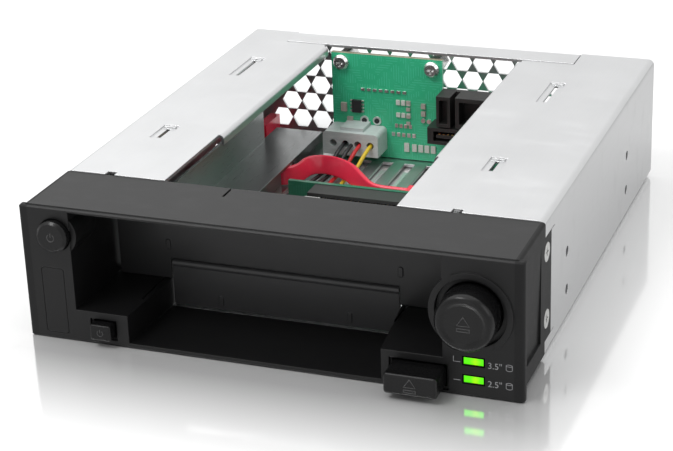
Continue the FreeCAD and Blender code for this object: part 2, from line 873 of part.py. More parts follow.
def make_flap():
    """The lower flap that fills the notch of the upper one."""
    left = s.bay_centre - s.flap_half
    right = s.bay_centre + s.flap_half
    face = door_front + 0.2
    panel = block((left, right), (face, face + s.flap_thick), (s.flap_foot, s.flap_top))
    panel = rounded(panel, 0.5, lambda e: runs_along(e, "x") and near(middle(e).y, face))
    barrel = bar("x", (axis_y, s.flap_axis_up), s.flap_barrel, (left, right))
    nubs = [nub(s.bay_centre + side * 20.2, s.flap_foot + 3.1, face) for side in (LEFT, RIGHT)]
    solid = fused([panel, barrel] + nubs)
    return carved(solid, [bar("x", (axis_y, s.flap_axis_up), s.flap_pin + s.pin_play,
                              (left - PAST, right + PAST))])


subpart("slot_door", make_flap())
subpart("slot_door_pin", bar("x", (axis_y, s.flap_axis_up), s.flap_pin,
                             (s.bay_centre - s.notch_half - 2.0, s.bay_centre + s.notch_half + 2.0)))


# ---- buttons and knob ---------------------------------------------------------

def make_power_button():
    """The round button: a disc with a soft edge, a collar and a plunger."""
    edge = s.button_round
    return turned([(0, -s.power_proud), (s.power_radius - edge, -s.power_proud),
                   (s.power_radius, edge - s.power_proud),
                   (s.power_radius, s.power_deep), (s.stem_radius, s.power_deep),
                   (s.stem_radius, s.power_stem),
                   (0, s.power_stem)],
                  (power_x, s.power_up), 0.0)


subpart("power_button_upper", make_power_button())


def cap(centre, wide, tall, span, soft):
    solid = block((centre[0] - wide / 2, centre[0] + wide / 2), span,
                  (centre[1] - tall / 2, centre[1] + tall / 2))
    solid = rounded(solid, soft, lambda e: runs_along(e, "y"))
    return rounded(solid, soft * 0.75,
                   lambda e: near(e.BoundBox.YMin, span[0]) and near(e.BoundBox.YMax, span[0]))


def make_small_button():
    body = cap((small_x, s.small_up), s.small_width, s.small_height, (-s.small_proud, s.small_deep),
               s.button_round)
    stem = bar("y", (small_x, s.small_up), s.stem_radius, (s.small_deep - 1.0, s.small_stem))
    return fused([body, stem])


subpart("power_button_lower", make_small_button())

knob_deep = s.boss_deep - s.knob_travel - 2 * s.button_play
rod_35_end = s.drive_35_rear + s.lever_setback - s.lever_half - s.lever_gap
subpart("eject_knob", turned(
    [(0, s.ring_proud - s.knob_proud), (s.knob_dish, s.ring_proud * 0.6 - s.knob_proud),
     (s.knob_dish + 0.9, -s.knob_proud), (s.knob_face - 0.8, -s.knob_proud),
     (s.knob_face + 0.5, 0.9 - s.knob_proud), (s.knob_radius, 3.2 - s.knob_proud),
     (s.knob_radius, knob_deep), (0, knob_deep)],
    (knob_x, s.knob_up), 0.0))


def push_rod(centre, span):
    """A steel rod with a rounded nose."""
    shaft = bar("y", centre, s.rod_radius, (span[0], span[1] - s.rod_radius))
    nose = doc.addObject("Part::Sphere", "nose")
    bind(nose, "Radius", s.rod_radius)
    move(nose, centre[0], span[1] - s.rod_radius, centre[1])
    return fused([shaft, nose])


subpart("eject_rod_upper", push_rod((knob_x, s.knob_up), (knob_deep, rod_35_end)))


rod_25_end = s.drive_25_rear + s.lever_setback - s.lever_half - s.lever_gap
subpart("eject_button_lower", cap((push_x, s.push_up), s.push_width, s.push_height,
                                  (-s.push_proud, s.push_deep), s.button_round * 1.25))
subpart("eject_rod_lower", push_rod((push_x, s.push_up), (s.push_deep, rod_25_end)))

spring_seat = bezel_back - 2 * s.wall
for name, centre, back, coil in (("knob_spring", (knob_x, s.knob_up), knob_deep, s.spring_radius),
                                 ("push_spring", (push_x, s.push_up), s.push_deep, s.spring_radius * 0.8)):
    subpart(name, spring("y", centre, coil, s.spring_wire, (back + spring_end, spring_seat - spring_end),
                         s.spring_turns.value))


# ---- indicator lights and small boards ------------------------------------------

for step, name in ((0, "light_lens_lower"), (1, "light_lens_upper")):
    lens_z = s.light_low + step * s.light_pitch
    lens = block((light_x - s.light_width / 2, light_x + s.light_width / 2), (s.light_sink, s.light_deep),
                 (lens_z - s.light_height / 2, lens_z + s.light_height / 2))
    subpart(name, lens)

light_board_front = s.light_deep + s.emitter_deep + 0.2
subpart("light_board", block((light_x - 4.0, inner_side - 0.1),
                             (light_board_front, light_board_front + s.board_thick),
                             (s.bezel_bottom + s.wall + 0.1, s.knob_up - s.knob_boss - 0.3)))
subpart("light_emitters", group([
    block((light_x - 1.2, light_x + 1.2), (light_board_front - s.emitter_deep, light_board_front),
          (s.light_low + step * s.light_pitch - 0.8, s.light_low + step * s.light_pitch + 0.8))
          for step in (0, 1)]))

upper_board = s.power_stem + s.power_travel + s.switch_deep
lower_board_at = s.small_stem + s.small_travel + s.switch_deep
subpart("upper_switch_board", block((-inner_side + 0.1, recess_left - s.wall - 0.1),
                                    (upper_board, upper_board + s.board_thick),
                                    (s.power_up - 7.5, s.bezel_top - s.wall - 0.1)))
subpart("lower_switch_board", block((recess_left + s.wall + 0.1, slot_left - s.wall - 0.1),
                                    (lower_board_at, lower_board_at + s.board_thick),
                                    (s.bezel_bottom + s.wall + 0.1, s.shelf_left - s.wall - 0.1)))


def tact_switch(centre, back, tip):
    """A small square press switch whose plunger faces forwards."""
    case = block((centre[0] - 3.0, centre[0] + 3.0), (back - s.switch_deep + 0.5, back),
                 (centre[1] - 2.4, centre[1] + 2.4))
    plunger = bar("y", centre, s.stem_radius, (tip, back - 1.0))
    return fused([case, plunger])


subpart("press_switches", group([
    tact_switch((power_x, s.power_up), upper_board, s.power_stem + s.power_travel + 0.1),
    tact_switch((small_x, s.small_up), lower_board_at, s.small_stem + s.small_travel + 0.1)]))


# ---- folded steel cage ------------------------------------------------------------

def make_cage():
    """One folded sheet: floor, two sides and two inward top flanges."""
    bend = s.bend_radius
    inner_bend = s.bend_radius - s.gauge
    window_left = s.bay_centre - s.window_left
    window_right = s.bay_centre + s.window_right
    section = [
        (-half, cage_low, bend), (half, cage_low, bend), (half, cage_high, bend),
        (window_right, cage_high), (window_right, roof), (half - s.gauge, roof, inner_bend),
        (half - s.gauge, floor, inner_bend), (-(half - s.gauge), floor, inner_bend),
        (-(half - s.gauge), roof, inner_bend), (window_left, roof), (window_left, cage_high),
        (-half, cage_high, bend),
    ]
    sheet_body = extruded("XZ_Plane", [section], (bezel_back, s.cage_depth))
    lip = block((-(half - bend), half - bend), (s.cage_depth - PAST, s.cage_depth + s.lip_reach),
                (cage_low, floor))
    hems = []
    for side, edge in ((LEFT, window_left), (RIGHT, window_right)):
        fold = edge - side * s.hem_reach
        inner_fold = fold + side * s.gauge
        hems.append(extruded("XZ_Plane", [[(edge + side * PAST, roof), (edge + side * PAST, cage_high),
                                           (fold, cage_high, s.hem_bend), (fold, cage_high - s.hem_drop),
                                           (inner_fold, cage_high - s.hem_drop),
                                           (inner_fold, roof, s.hem_bend - s.gauge)]],
                             (s.hem_front, s.board_front - 1.5)))
    front_tabs = []
    for side in (LEFT, RIGHT):
        face = inner_side
        inside = inner_side - s.gauge
        wall_in = half - s.gauge / 2
        plate = (face, inside) if side == LEFT else (inside, face)
        strip = (wall_in, inside) if side == LEFT else (inside, wall_in)
        tab_x = (side * plate[0], side * plate[1])
        strip_x = (side * strip[0], side * strip[1])
        back = bezel_back + s.ear_reach
        front_tabs.append(block(tab_x, (bezel_back - 3.0, back + 2 * s.gauge),
                                (s.ear_low + 2, s.ear_high - 2)))
        front_tabs.append(block(strip_x, (back + s.gauge, back + 2 * s.gauge),
                                (s.ear_low + 2, s.ear_high - 2)))
    solid = fused([sheet_body, lip] + hems + front_tabs)

    cuts = []
    for side in (LEFT, RIGHT):
        out = (half - s.gauge - PAST, half + PAST)
        out = out if side == RIGHT else (-out[1], -out[0])
        cut_x = (half - s.gauge, half + PAST) if side == RIGHT else (-half - PAST, -half + s.gauge)
        ear_room = 0.15
        cuts.append(block(cut_x, (bezel_back - PAST, bezel_back + s.ear_reach + ear_room),
                          (s.ear_low - ear_room, s.ear_high + ear_room)))
        ear_back = bezel_back + s.ear_reach
        for up in (s.ear_high + ear_room, s.ear_low + ear_room):
            cuts.append(block(cut_x, (ear_back, ear_back + s.slit_long), (up - 2 * ear_room, up)))
        for column in (0, 1):
            for row in (0, 1):
                cuts.append(bar("x", (s.hole_setback + column * s.hole_pitch,
                                      cage_low + s.hole_low + row * s.hole_rise), s.hole_radius, out))
        thread = (inner_side - s.gauge - PAST, inner_side + PAST)
        thread = thread if side == RIGHT else (-thread[1], -thread[0])
        for up in (s.ear_screw_low, s.ear_screw_high):
            cuts.append(bar("x", (s.ear_screw_back, up), s.screw_shank, thread))
        near_edge = s.bay_centre + side * (s.lance_near - s.lance_width / 2)
        if side == LEFT:
            near_edge = s.bay_centre - s.lance_near - s.lance_width / 2
        lance_x = (near_edge, near_edge + s.lance_width)
        for start, long in ((s.lance_front, s.lance_front_long), (s.lance_rear, s.lance_rear_long)):
            cuts.append(block(lance_x, (start, start + long), (cage_high - s.lance_sink, cage_high + PAST)))
            mid = near_edge + s.lance_width / 2
            cuts.append(block((mid - 0.6, mid + 0.6), (start + 1.2, start + long - 2.6),
                              (roof - PAST, cage_high)))
        cuts.append(block((near_edge + 0.8, near_edge + 3.8), (bezel_back - PAST, bezel_back + 2.2),
                          (roof - PAST, cage_high + PAST)))
    for number in range(int(s.vent_columns.value)):
        x = s.bay_centre + (number - (s.vent_columns - 1) / 2) * s.vent_pitch
        slot = block((x - s.vent_width / 2, x + s.vent_width / 2), (s.vent_front, s.vent_front + s.vent_long),
                     (cage_low - PAST, floor + PAST))
        cuts.append(slot)
    flange_front = s.cage_depth - s.back_flange - 0.2
    cuts.append(block((s.bay_centre - s.back_flange_left - 0.2, s.bay_centre + s.back_flange_right + 0.2),
                      (flange_front, s.cage_depth + PAST), (roof - PAST, cage_high + PAST)))
    return carved(solid, cuts)


cage = make_cage()


def lance_hooks():
    """The raised hook at the far end of each lanced slot."""
    hooks = []
    for side in (LEFT, RIGHT):
        mid = s.bay_centre + side * s.lance_near
        for start, long in ((s.lance_front, s.lance_front_long), (s.lance_rear, s.lance_rear_long)):
            end = start + long
            hooks.append(block((mid - 2.0, mid + 2.0), (end - 2.2, end - 1.2), (roof, cage_high + 0.25)))
    return hooks


subpart("steel_cage", fused([cage] + lance_hooks()))


# ---- back plate --------------------------------------------------------------------

def make_back_plate():
    """The honeycomb back wall with its folded top flange."""
    back = s.cage_depth
    inside = half - s.gauge
    flange_z = cage_high + 0.2
    plate = extruded("YZ_Plane", [[(back - s.gauge, floor), (back, floor), (back, flange_z, s.bend_radius),
                                   (back - s.back_flange, flange_z),
                                   (back - s.back_flange, flange_z - s.gauge),
                                   (back - s.gauge, flange_z - s.gauge, s.bend_radius - s.gauge)]],
                     (s.bay_centre - s.back_flange_left, s.bay_centre + s.back_flange_right))
    corner = s.bend_radius - s.gauge + 0.1
    wings = [block((-inside, inside), (back - s.gauge, back), (floor + corner, roof - corner)),
             block((corner - inside, inside - corner), (back - s.gauge, back), (floor, roof - 0.1))]
    solid = fused([plate] + wings)
    cuts = []
    depth = (back - s.gauge - PAST, back + PAST)
    rise = s.hex_pitch * (math.sqrt(3.0) / 2)
    for row in range(int(s.hex_rows.value)):
        shift = (row % 2) * s.hex_pitch / 2
        for column in range(int(s.hex_columns.value)):
            x = (column - (s.hex_columns - 1) / 2) * s.hex_pitch + shift - s.hex_pitch / 4
            behind_port = abs(x.value - port_x.value) < 18.5 and row < 2
            if not behind_port:
                cuts.append(hexagon("y", (x, s.hex_low + row * rise), s.hex_across, depth))
    cuts.append(block((port_x - 14.4, port_x + 14.4), depth, (port_low - 0.4, port_high + 0.4)))
    return carved(solid, cuts)


port_x = s.bay_centre - 6.0
port_low = floor + 4.0
port_high = port_low + 8.0
subpart("back_plate", make_back_plate())


# ---- drive rails ---------------------------------------------------------------------

def make_rail(side, window):
    """A folded rail: side guide, ledge for the upper drive, wall and foot."""
    g = s.gauge
    guide = s.rail_half
    inner = s.rail_inner
    top = s.rail_top
    low = floor
    at = lambda reach: s.bay_centre + side * reach
    section = [
        (at(guide), s.rail_guide), (at(guide + g), s.rail_guide), (at(guide + g), top - g),
        (at(inner + g), top - g), (at(inner + g), low + g), (at(inner + g + s.rail_foot), low + g),
        (at(inner + g + s.rail_foot), low), (at(inner), low), (at(inner), top), (at(guide), top),
    ]
    body = extruded("XZ_Plane", [section], (s.rail_front, s.rail_back))
    guide_x = (at(guide) - PAST, at(guide + g) + PAST) if side == RIGHT else (at(guide + g) - PAST,
                                                                              at(guide) + PAST)
    wall_x = (at(inner) - PAST, at(inner + g) + PAST) if side == RIGHT else (at(inner + g) - PAST,
                                                                             at(inner) + PAST)
    cuts = [block(guide_x, (s.drive_35_rear - 8.0, s.rail_back + PAST), (top, s.rail_guide + PAST)),
            block(wall_x, window, (low + g, top - g))]
    return carved(body, cuts)


subpart("left_rail", make_rail(LEFT, (s.board_25_front + 6.0, s.board_25_front + 18.0)))
subpart("right_rail", make_rail(RIGHT, (s.drive_25_rear - 10.0, s.drive_25_rear + 8.0)))


# ---- ejector levers ---------------------------------------------------------------------

def make_lever(pivot, inner, outer, low):
    """A flat steel lever with round ends and a pivot hole."""
    span = (low, low + s.lever_thick)
    y = pivot[1]
    arm = block((pivot[0] - inner, pivot[0] + outer), (y - s.lever_half, y + s.lever_half), span)
    ends = [bar("z", (pivot[0] + reach, y), s.lever_half, span) for reach in (-inner, outer)]
    hub = bar("z", (pivot[0], y), s.lever_pin + 1.6, span)
    return carved(fused([arm, hub] + ends),
                  [bar("z", (pivot[0], y), s.lever_pin + s.lever_play, (span[0] - PAST, span[1] + PAST))])


pivot_35 = (s.bay_centre + s.lever_35_right, s.drive_35_rear + s.lever_setback)
pivot_25 = (s.bay_centre + s.lever_25_right, s.drive_25_rear + s.lever_setback)
lever_35_low = s.knob_up - s.lever_thick / 2
lever_25_low = s.push_up - s.lever_thick / 2
subpart("eject_lever_upper", make_lever(pivot_35, s.lever_35_inner, knob_x - pivot_35[0] + 1.0, lever_35_low))
subpart("eject_lever_lower", make_lever(pivot_25, s.lever_25_inner, push_x - pivot_25[0] + 1.0, lever_25_low))


def pivot_pin(pivot, low, lever_low):
    """A shoulder rivet: foot, shoulder under the lever, pin and head."""
    top = lever_low + s.lever_thick
    return fused([
        bar("z", pivot, s.lever_pin + 1.2, (low, lever_low - 0.1)),
        bar("z", pivot, s.lever_pin, (low, top + 0.9)),
        bar("z", pivot, s.lever_pin + 1.0, (top + 0.1, top + 0.9)),
    ])


bracket_low = lever_35_low - 2.6
subpart("upper_lever_pin", pivot_pin(pivot_35, bracket_low + s.gauge, lever_35_low))
subpart("lower_lever_pin", pivot_pin(pivot_25, floor + s.gauge, lever_25_low))

lever_bracket = fused([
    block((pivot_35[0] - 3.6, half - s.gauge), (pivot_35[1] - 4.6, pivot_35[1] + 4.6),
          (bracket_low, bracket_low + s.gauge)),
    block((half - 2 * s.gauge, half - s.gauge), (pivot_35[1] - 4.6, pivot_35[1] + 4.6),
          (bracket_low, bracket_low + 9.0)),
])
subpart("lever_bracket", lever_bracket)


def rod_guide(y):
    """A folded strap from floor to side wall with a hole for the rod."""
    left = s.bay_centre + s.rail_half + 2 * s.gauge
    right = half - s.gauge - s.bend_radius
    strap = block((left, right), (y, y + s.gauge), (floor, s.knob_up + 5.0))
    foot = block((left, right), (y, y + 6.0), (floor, floor + s.gauge))
    hole = bar("y", (knob_x, s.knob_up), s.rod_radius + s.rod_play, (y - PAST, y + PAST * 2))
    return carved(fused([strap, foot]), [hole])


subpart("rod_guides", group([rod_guide(s.guide_front), rod_guide(s.guide_back)]))


# ---- boards and connectors -----------------------------------------------------------------

board_back = s.board_front + s.board_thick
board_left = s.bay_centre - s.board_left
board_right = s.bay_centre + s.board_right
board_step = s.bay_centre + s.board_step
screw_places = [(s.bay_centre - s.board_screw_left, s.board_screw_up),
                (s.bay_centre + s.board_screw_right, s.board_screw_up)]


def make_backplane():
    panel = extruded("XZ_Plane", [[(board_left, s.board_foot), (board_right, s.board_foot),
                                   (board_right, s.board_step_up), (board_step, s.board_step_up),
                                   (board_step, s.board_top), (board_left, s.board_top)]],
                     (s.board_front, board_back))
    return carved(panel, [bar("y", place, 1.6, (s.board_front - PAST, board_back + PAST))
                          for place in screw_places])


subpart("backplane_board", make_backplane())


def make_standoff(place):
    post = hexagon("y", place, 2 * s.standoff_radius, (board_back, s.cage_depth - s.gauge))
    return carved(post, [bar("y", place, s.screw_shank, (board_back - PAST, board_back + 6.0))])


subpart("board_standoffs", group([make_standoff(place) for place in screw_places]))


def make_pan_screw(place, face, long):
    """A pan-head screw seen from the front, with a cross recess."""
    head = cone("y", place, (s.screw_head * 0.75, s.screw_head), (face - 1.9, face - 0.9))
    rim = bar("y", place, s.screw_head, (face - 0.9, face))
    shank = bar("y", place, s.screw_shank, (face, face + long))
    solid = fused([head, rim, shank])
    cross = [block((place[0] - a, place[0] + a), (face - 1.9 - PAST, face - 1.0),
                   (place[1] - b, place[1] + b))
             for a, b in ((1.3, 0.3), (0.3, 1.3))]
    return carved(solid, cross)


subpart("board_screws", group([make_pan_screw(place, s.board_front, 5.5) for place in screw_places]))


def make_socket(left, wide, low, high, face, board):
    """A drive socket: a moulded body round a contact tongue."""
    body = block((left, left + wide), (face, board), (low, high))
    mouth = block((left + 2.2, left + wide - 2.2), (face - PAST, face + s.tongue_reach),
                  (low + 1.2, high - 1.2))
    shell = carved(body, [mouth])
    tongue = block((left + 3.0, left + wide - 3.0), (face + 0.6, face + s.tongue_reach + PAST),
                   (low + 2.2, low + 3.4))
    return fused([shell, tongue])


def make_contacts(left, wide, low, face):
    """The row of sprung contacts on a socket's tongue."""
    strips = []
    pitch = (wide - 8.0) / (s.contact_count - 1)
    for number in range(int(s.contact_count.value)):
        x = left + wide / 2 + (number - (s.contact_count - 1) / 2) * pitch
        strips.append(block((x - s.contact_width / 2, x + s.contact_width / 2),
                            (face + 1.0, face + s.tongue_reach), (low + 3.4, low + 3.65)))
    return group(strips)


plug_35_left = s.bay_centre + s.plug_35_left
plug_35_face = s.drive_35_rear + 1.2
subpart("upper_drive_socket", make_socket(plug_35_left, s.plug_35_width, s.plug_35_low, s.plug_35_high,
                                          plug_35_face, s.board_front))
subpart("upper_socket_contacts", make_contacts(plug_35_left, s.plug_35_width, s.plug_35_low, plug_35_face))

block_left = s.bay_centre + s.block_left
block_face = s.board_front - s.block_deep


def make_power_block():
    """A tall black header: a narrow end tower and a wide open-fronted body."""
    body = block((block_left, block_left + s.block_width), (block_face, s.board_front),
                 (s.block_low, s.block_high))
    gap = block((block_left + 5.0, block_left + 6.8), (block_face - PAST, s.board_front - 2.0),
                (s.block_low - PAST, s.block_high + PAST))
    mouth = block((block_left + 8.2, block_left + s.block_width - 1.4), (block_face - PAST, block_face + 6.0),
                  (s.block_low + 1.4, s.block_high - 1.4))
    tower = block((block_left + 1.0, block_left + 4.0), (block_face - PAST, block_face + 4.0),
                  (s.block_low + 1.2, s.block_high - 1.2))
    return carved(body, [gap, mouth, tower])


subpart("power_header", make_power_block())

plug_left = s.bay_centre - s.power_plug_left
plug_right = plug_left + s.power_plug_width
plug_face = s.board_front - s.power_plug_deep
wire_z = (s.power_plug_low + s.power_plug_high) / 2
wire_xs = [plug_right - 2.9 - number * s.wire_pitch for number in range(4)]


def make_power_plug():
    """The clear nylon wire plug, with a bored front for its four wires."""
    body = block((plug_left, plug_right), (plug_face, s.board_front), (s.power_plug_low, s.power_plug_high))
    body = rounded(body, 1.6, lambda e: runs_along(e, "y") and middle(e).z > float(s.power_plug_high) - 0.1)
    latch = block((plug_left + 6.0, plug_right - 6.0), (plug_face + 2.0, s.board_front),
                  (s.power_plug_high - 0.5, s.power_plug_high + 1.2))
    bores = [bar("y", (x, wire_z), s.wire_radius + 0.6, (plug_face - PAST, plug_face + 4.0)) for x in wire_xs]
    return carved(fused([body, latch]), bores)


subpart("power_plug", make_power_plug())

board_25_back = s.board_25_front + s.board_thick
board_25_left = s.bay_centre - s.board_25_left
board_25_right = s.bay_centre + s.board_25_right
subpart("lower_board", block((board_25_left, board_25_right), (s.board_25_front, board_25_back),
                             (floor, s.board_25_top)))
plug_25_left = s.bay_centre - s.plug_25_left
plug_25_face = s.drive_25_rear + 0.6
subpart("lower_drive_socket", make_socket(plug_25_left, s.plug_25_width, s.plug_25_low, s.plug_25_high,
                                          plug_25_face, s.board_25_front))
subpart("lower_socket_contacts", make_contacts(plug_25_left, s.plug_25_width, s.plug_25_low, plug_25_face))

names = ("wire_yellow", "wire_red", "wire_black_near", "wire_black_far")
for number, (name, x) in enumerate(zip(names, wire_xs)):
    end_x = board_25_left + 14.0 - number * 3.0
    lying = floor + s.wire_radius + 0.05
    start = (x, plug_face + 3.9, wire_z)
    lead = (x, plug_face - 5.0, wire_z - 0.5)
    droop = (x - 2.5, plug_face - 12.5, lying)
    run = (end_x, board_25_back + 8.0, lying)
    end = (end_x, board_25_back + 0.2, floor + 2.4)
    subpart(name, tube([start, lead, droop, run, end], s.wire_radius, 3.0))


# ---- signal ribbon ---------------------------------------------------------------------------

ribbon_plug_x = s.bay_centre + 9.0
rear_plug_front = s.cage_depth - 14.0


def make_ribbon():
    """The flat red signal cable, standing on its edge."""
    near = board_25_back + 3.8
    channel = half - s.gauge - 6.0
    route = [(ribbon_plug_x, near), (s.bay_centre - 2.85, near), (s.bay_centre - 11.85, near + 14.6),
             (s.bay_centre - 23.85, near + 17.6), (s.bay_centre - 31.85, near + 7.2),
             (s.bay_centre - 46.85, near + 6.2), (-channel, near + 6.6), (-channel, rear_plug_front)]
    way = [FreeCAD.Vector(float(x), float(y), 0) for x, y in route]
    edges = []
    last = way[0]
    bend = 5.0
    for number in range(1, len(way) - 1):
        here = way[number]
        back = (way[number - 1] - here).normalize()
        ahead = (way[number + 1] - here).normalize()
        half_turn = back.getAngle(ahead) / 2
        if half_turn > math.pi / 2 - 0.001:
            continue
        reach = bend / math.tan(half_turn)
        first = here + back * reach
        third = here + ahead * reach
        inward = (back + ahead).normalize()
        edges.append(Part.LineSegment(last, first).toShape())
        edges.append(Part.Arc(first, here + inward * (bend / math.sin(half_turn) - bend), third).toShape())
        last = third
    edges.append(Part.LineSegment(last, way[-1]).toShape())
    path = Part.Wire(edges)
    thick = float(s.ribbon_thick)
    sides = [path.makeOffset2D(thick / 2, 0, False, True), path.makeOffset2D(-thick / 2, 0, False, True)]
    outline = Part.Wire(Part.__sortEdges__(
        sides[0].Edges + sides[1].Edges
        + [Part.LineSegment(sides[0].OrderedVertexes[0].Point, sides[1].OrderedVertexes[0].Point).toShape(),
           Part.LineSegment(sides[0].OrderedVertexes[-1].Point,
                            sides[1].OrderedVertexes[-1].Point).toShape()]))
    face = Part.Face(outline)
    solid = face.extrude(FreeCAD.Vector(0, 0, float(s.ribbon_high)))
    solid.translate(FreeCAD.Vector(0, 0, float(s.ribbon_low)))
    item = doc.addObject("Part::Feature", "ribbon")
    item.Shape = solid
    return item


ribbon_plug_up = (s.ribbon_low - 0.4, s.ribbon_low + s.ribbon_high + 0.6)
subpart("signal_ribbon", make_ribbon())
subpart("ribbon_plugs", group([
    block((ribbon_plug_x, ribbon_plug_x + 8.0), (board_25_back, board_25_back + 5.4), ribbon_plug_up),
    block((s.gauge + 4.2 - half, s.gauge + 7.8 - half), (rear_plug_front, s.cage_depth - s.gauge),
          ribbon_plug_up),
]))


# ---- rear ports and fixings --------------------------------------------------------------------

def make_ports():
    """Host sockets on the rear of the backplane, reached through the back plate."""
    ports = []
    for left, right in ((-14.0, -4.0), (-2.0, 14.0)):
        body = block((port_x + left, port_x + right), (board_back, s.cage_depth + 0.6), (port_low, port_high))
        mouth = block((port_x + left + 1.2, port_x + right - 1.2),
                      (s.cage_depth - 5.0, s.cage_depth + 0.6 + PAST),
                      (port_low + 1.2, port_high - 1.2))
        key = block((port_x + left + 1.8, port_x + right - 1.8), (s.cage_depth - 6.0, s.cage_depth - 0.6),
                    (port_low + 3.4, port_low + 4.6))
        ports.append(fused([carved(body, [mouth]), key]))
    return group(ports)


subpart("host_ports", make_ports())


def ear_screw(side, up):
    """A pan-head screw through the bezel's ear into the cage's tab."""
    outer = half - s.screw_head_thick / 2
    spans = {
        "head": (outer, outer + s.screw_head_thick * 0.55),
        "shank": (inner_side - s.gauge - 1.5, outer),
    }
    pieces = []
    for name, radius in (("head", s.screw_head), ("shank", s.screw_shank)):
        low, high = spans[name]
        span = (low, high) if side == RIGHT else (-high, -low)
        pieces.append(bar("x", (s.ear_screw_back, up), radius, span))
    cross_span = (outer + 0.2, outer + 2.0) if side == RIGHT else (-outer - 2.0, -outer - 0.2)
    y = s.ear_screw_back
    cross = [block(cross_span, (y - a, y + a), (up - b, up + b)) for a, b in ((1.3, 0.3), (0.3, 1.3))]
    return carved(fused(pieces), cross)


subpart("bezel_screws", group([ear_screw(side, up) for side in (LEFT, RIGHT)
                               for up in (s.ear_screw_low, s.ear_screw_high)]))


# ---- checks and files ------------------------------------------------------------------------------

doc.recompute()
faults = [item.Name for item in doc.Objects if "Invalid" in item.State or "Error" in item.State]
for item in subparts:
    if item.Shape.isNull() or not item.Shape.isValid() or not item.Shape.Solids:
        faults.append(item.Label)
if faults:
    raise RuntimeError("pieces that failed: " + ", ".join(faults))
os.makedirs("parts", exist_ok=True)
for item in subparts:
    item.Shape.exportStep("parts/%s.step" % item.Label)
    box = item.Shape.BoundBox
    print("%-24s %2d solids %10.1f mm3  x %.2f %.2f  y %.2f %.2f  z %.2f %.2f" % (
        item.Label, len(item.Shape.Solids), item.Shape.Volume,
        box.XMin, box.XMax, box.YMin, box.YMax, box.ZMin, box.ZMax))
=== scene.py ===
"""Looks of a half-height drive cage: a black moulded bezel on a folded steel housing."""
import json
import math

import bpy
from mathutils import Matrix, Vector


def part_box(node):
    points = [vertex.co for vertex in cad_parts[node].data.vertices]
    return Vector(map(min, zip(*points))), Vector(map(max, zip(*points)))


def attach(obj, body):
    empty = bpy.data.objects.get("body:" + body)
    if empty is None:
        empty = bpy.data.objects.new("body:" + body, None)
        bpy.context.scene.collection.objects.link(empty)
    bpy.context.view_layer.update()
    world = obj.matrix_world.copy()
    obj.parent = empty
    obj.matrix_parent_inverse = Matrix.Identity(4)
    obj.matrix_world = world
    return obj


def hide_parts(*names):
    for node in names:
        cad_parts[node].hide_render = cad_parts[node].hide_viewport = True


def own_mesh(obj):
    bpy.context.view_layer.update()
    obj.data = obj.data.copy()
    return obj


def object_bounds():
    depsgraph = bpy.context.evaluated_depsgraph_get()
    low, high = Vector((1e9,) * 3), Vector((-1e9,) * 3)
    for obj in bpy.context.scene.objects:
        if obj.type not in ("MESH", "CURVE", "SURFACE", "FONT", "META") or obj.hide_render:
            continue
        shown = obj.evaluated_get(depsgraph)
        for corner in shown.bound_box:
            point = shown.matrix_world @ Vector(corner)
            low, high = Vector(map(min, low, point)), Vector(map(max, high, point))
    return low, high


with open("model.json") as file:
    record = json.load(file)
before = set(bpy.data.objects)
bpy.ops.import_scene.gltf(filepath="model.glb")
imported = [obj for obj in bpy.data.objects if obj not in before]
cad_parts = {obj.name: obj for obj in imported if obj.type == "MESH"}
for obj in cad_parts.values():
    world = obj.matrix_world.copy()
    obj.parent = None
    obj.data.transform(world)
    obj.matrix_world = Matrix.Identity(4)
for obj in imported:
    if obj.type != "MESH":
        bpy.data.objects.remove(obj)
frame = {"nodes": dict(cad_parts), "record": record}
cad_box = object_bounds()


# ---- steel cage ------------------------------------------------------------------
# The housing is one sheet of galvanised steel, folded into a tray with turned-in top flanges.
# Its faces keep the rolling grain of the coil, and handling leaves faint smears on them.

class Amount:
    """A shader socket that takes part in sums; each sum adds its Math node."""

    def __init__(self, socket):
        self.socket = socket

    def worked(self, operation, *terms):
        tree = Tree(self.socket.id_data)
        return tree.node("ShaderNodeMath", {"operation": operation}, Value=list(terms))

    def __add__(self, other):
        return self.worked("ADD", self, other)

    __radd__ = __add__

    def __sub__(self, other):
        return self.worked("SUBTRACT", self, other)

    def __rsub__(self, other):
        return self.worked("SUBTRACT", other, self)

    def __mul__(self, other):
        return self.worked("MULTIPLY", self, other)

    __rmul__ = __mul__

    def __truediv__(self, other):
        return self.worked("DIVIDE", self, other)

    def __rtruediv__(self, other):
        return self.worked("DIVIDE", other, self)

    def __mod__(self, other):
        return self.worked("FLOORED_MODULO", self, other)

    def __rmod__(self, other):
        return self.worked("FLOORED_MODULO", other, self)

    def __lt__(self, other):
        return self.worked("LESS_THAN", self, other)

    def __gt__(self, other):
        return self.worked("GREATER_THAN", self, other)

    def __abs__(self):
        return self.worked("ABSOLUTE", self)

    def most(self, other):
        """The larger of the two."""
        return self.worked("MAXIMUM", self, other)

    def least(self, other):
        """The smaller of the two."""
        return self.worked("MINIMUM", self, other)

    def fade(self, start, end):
        """0 at start and before it, 1 at end and past it."""
        return ((self - start) / (end - start)).most(0.0).least(1.0)


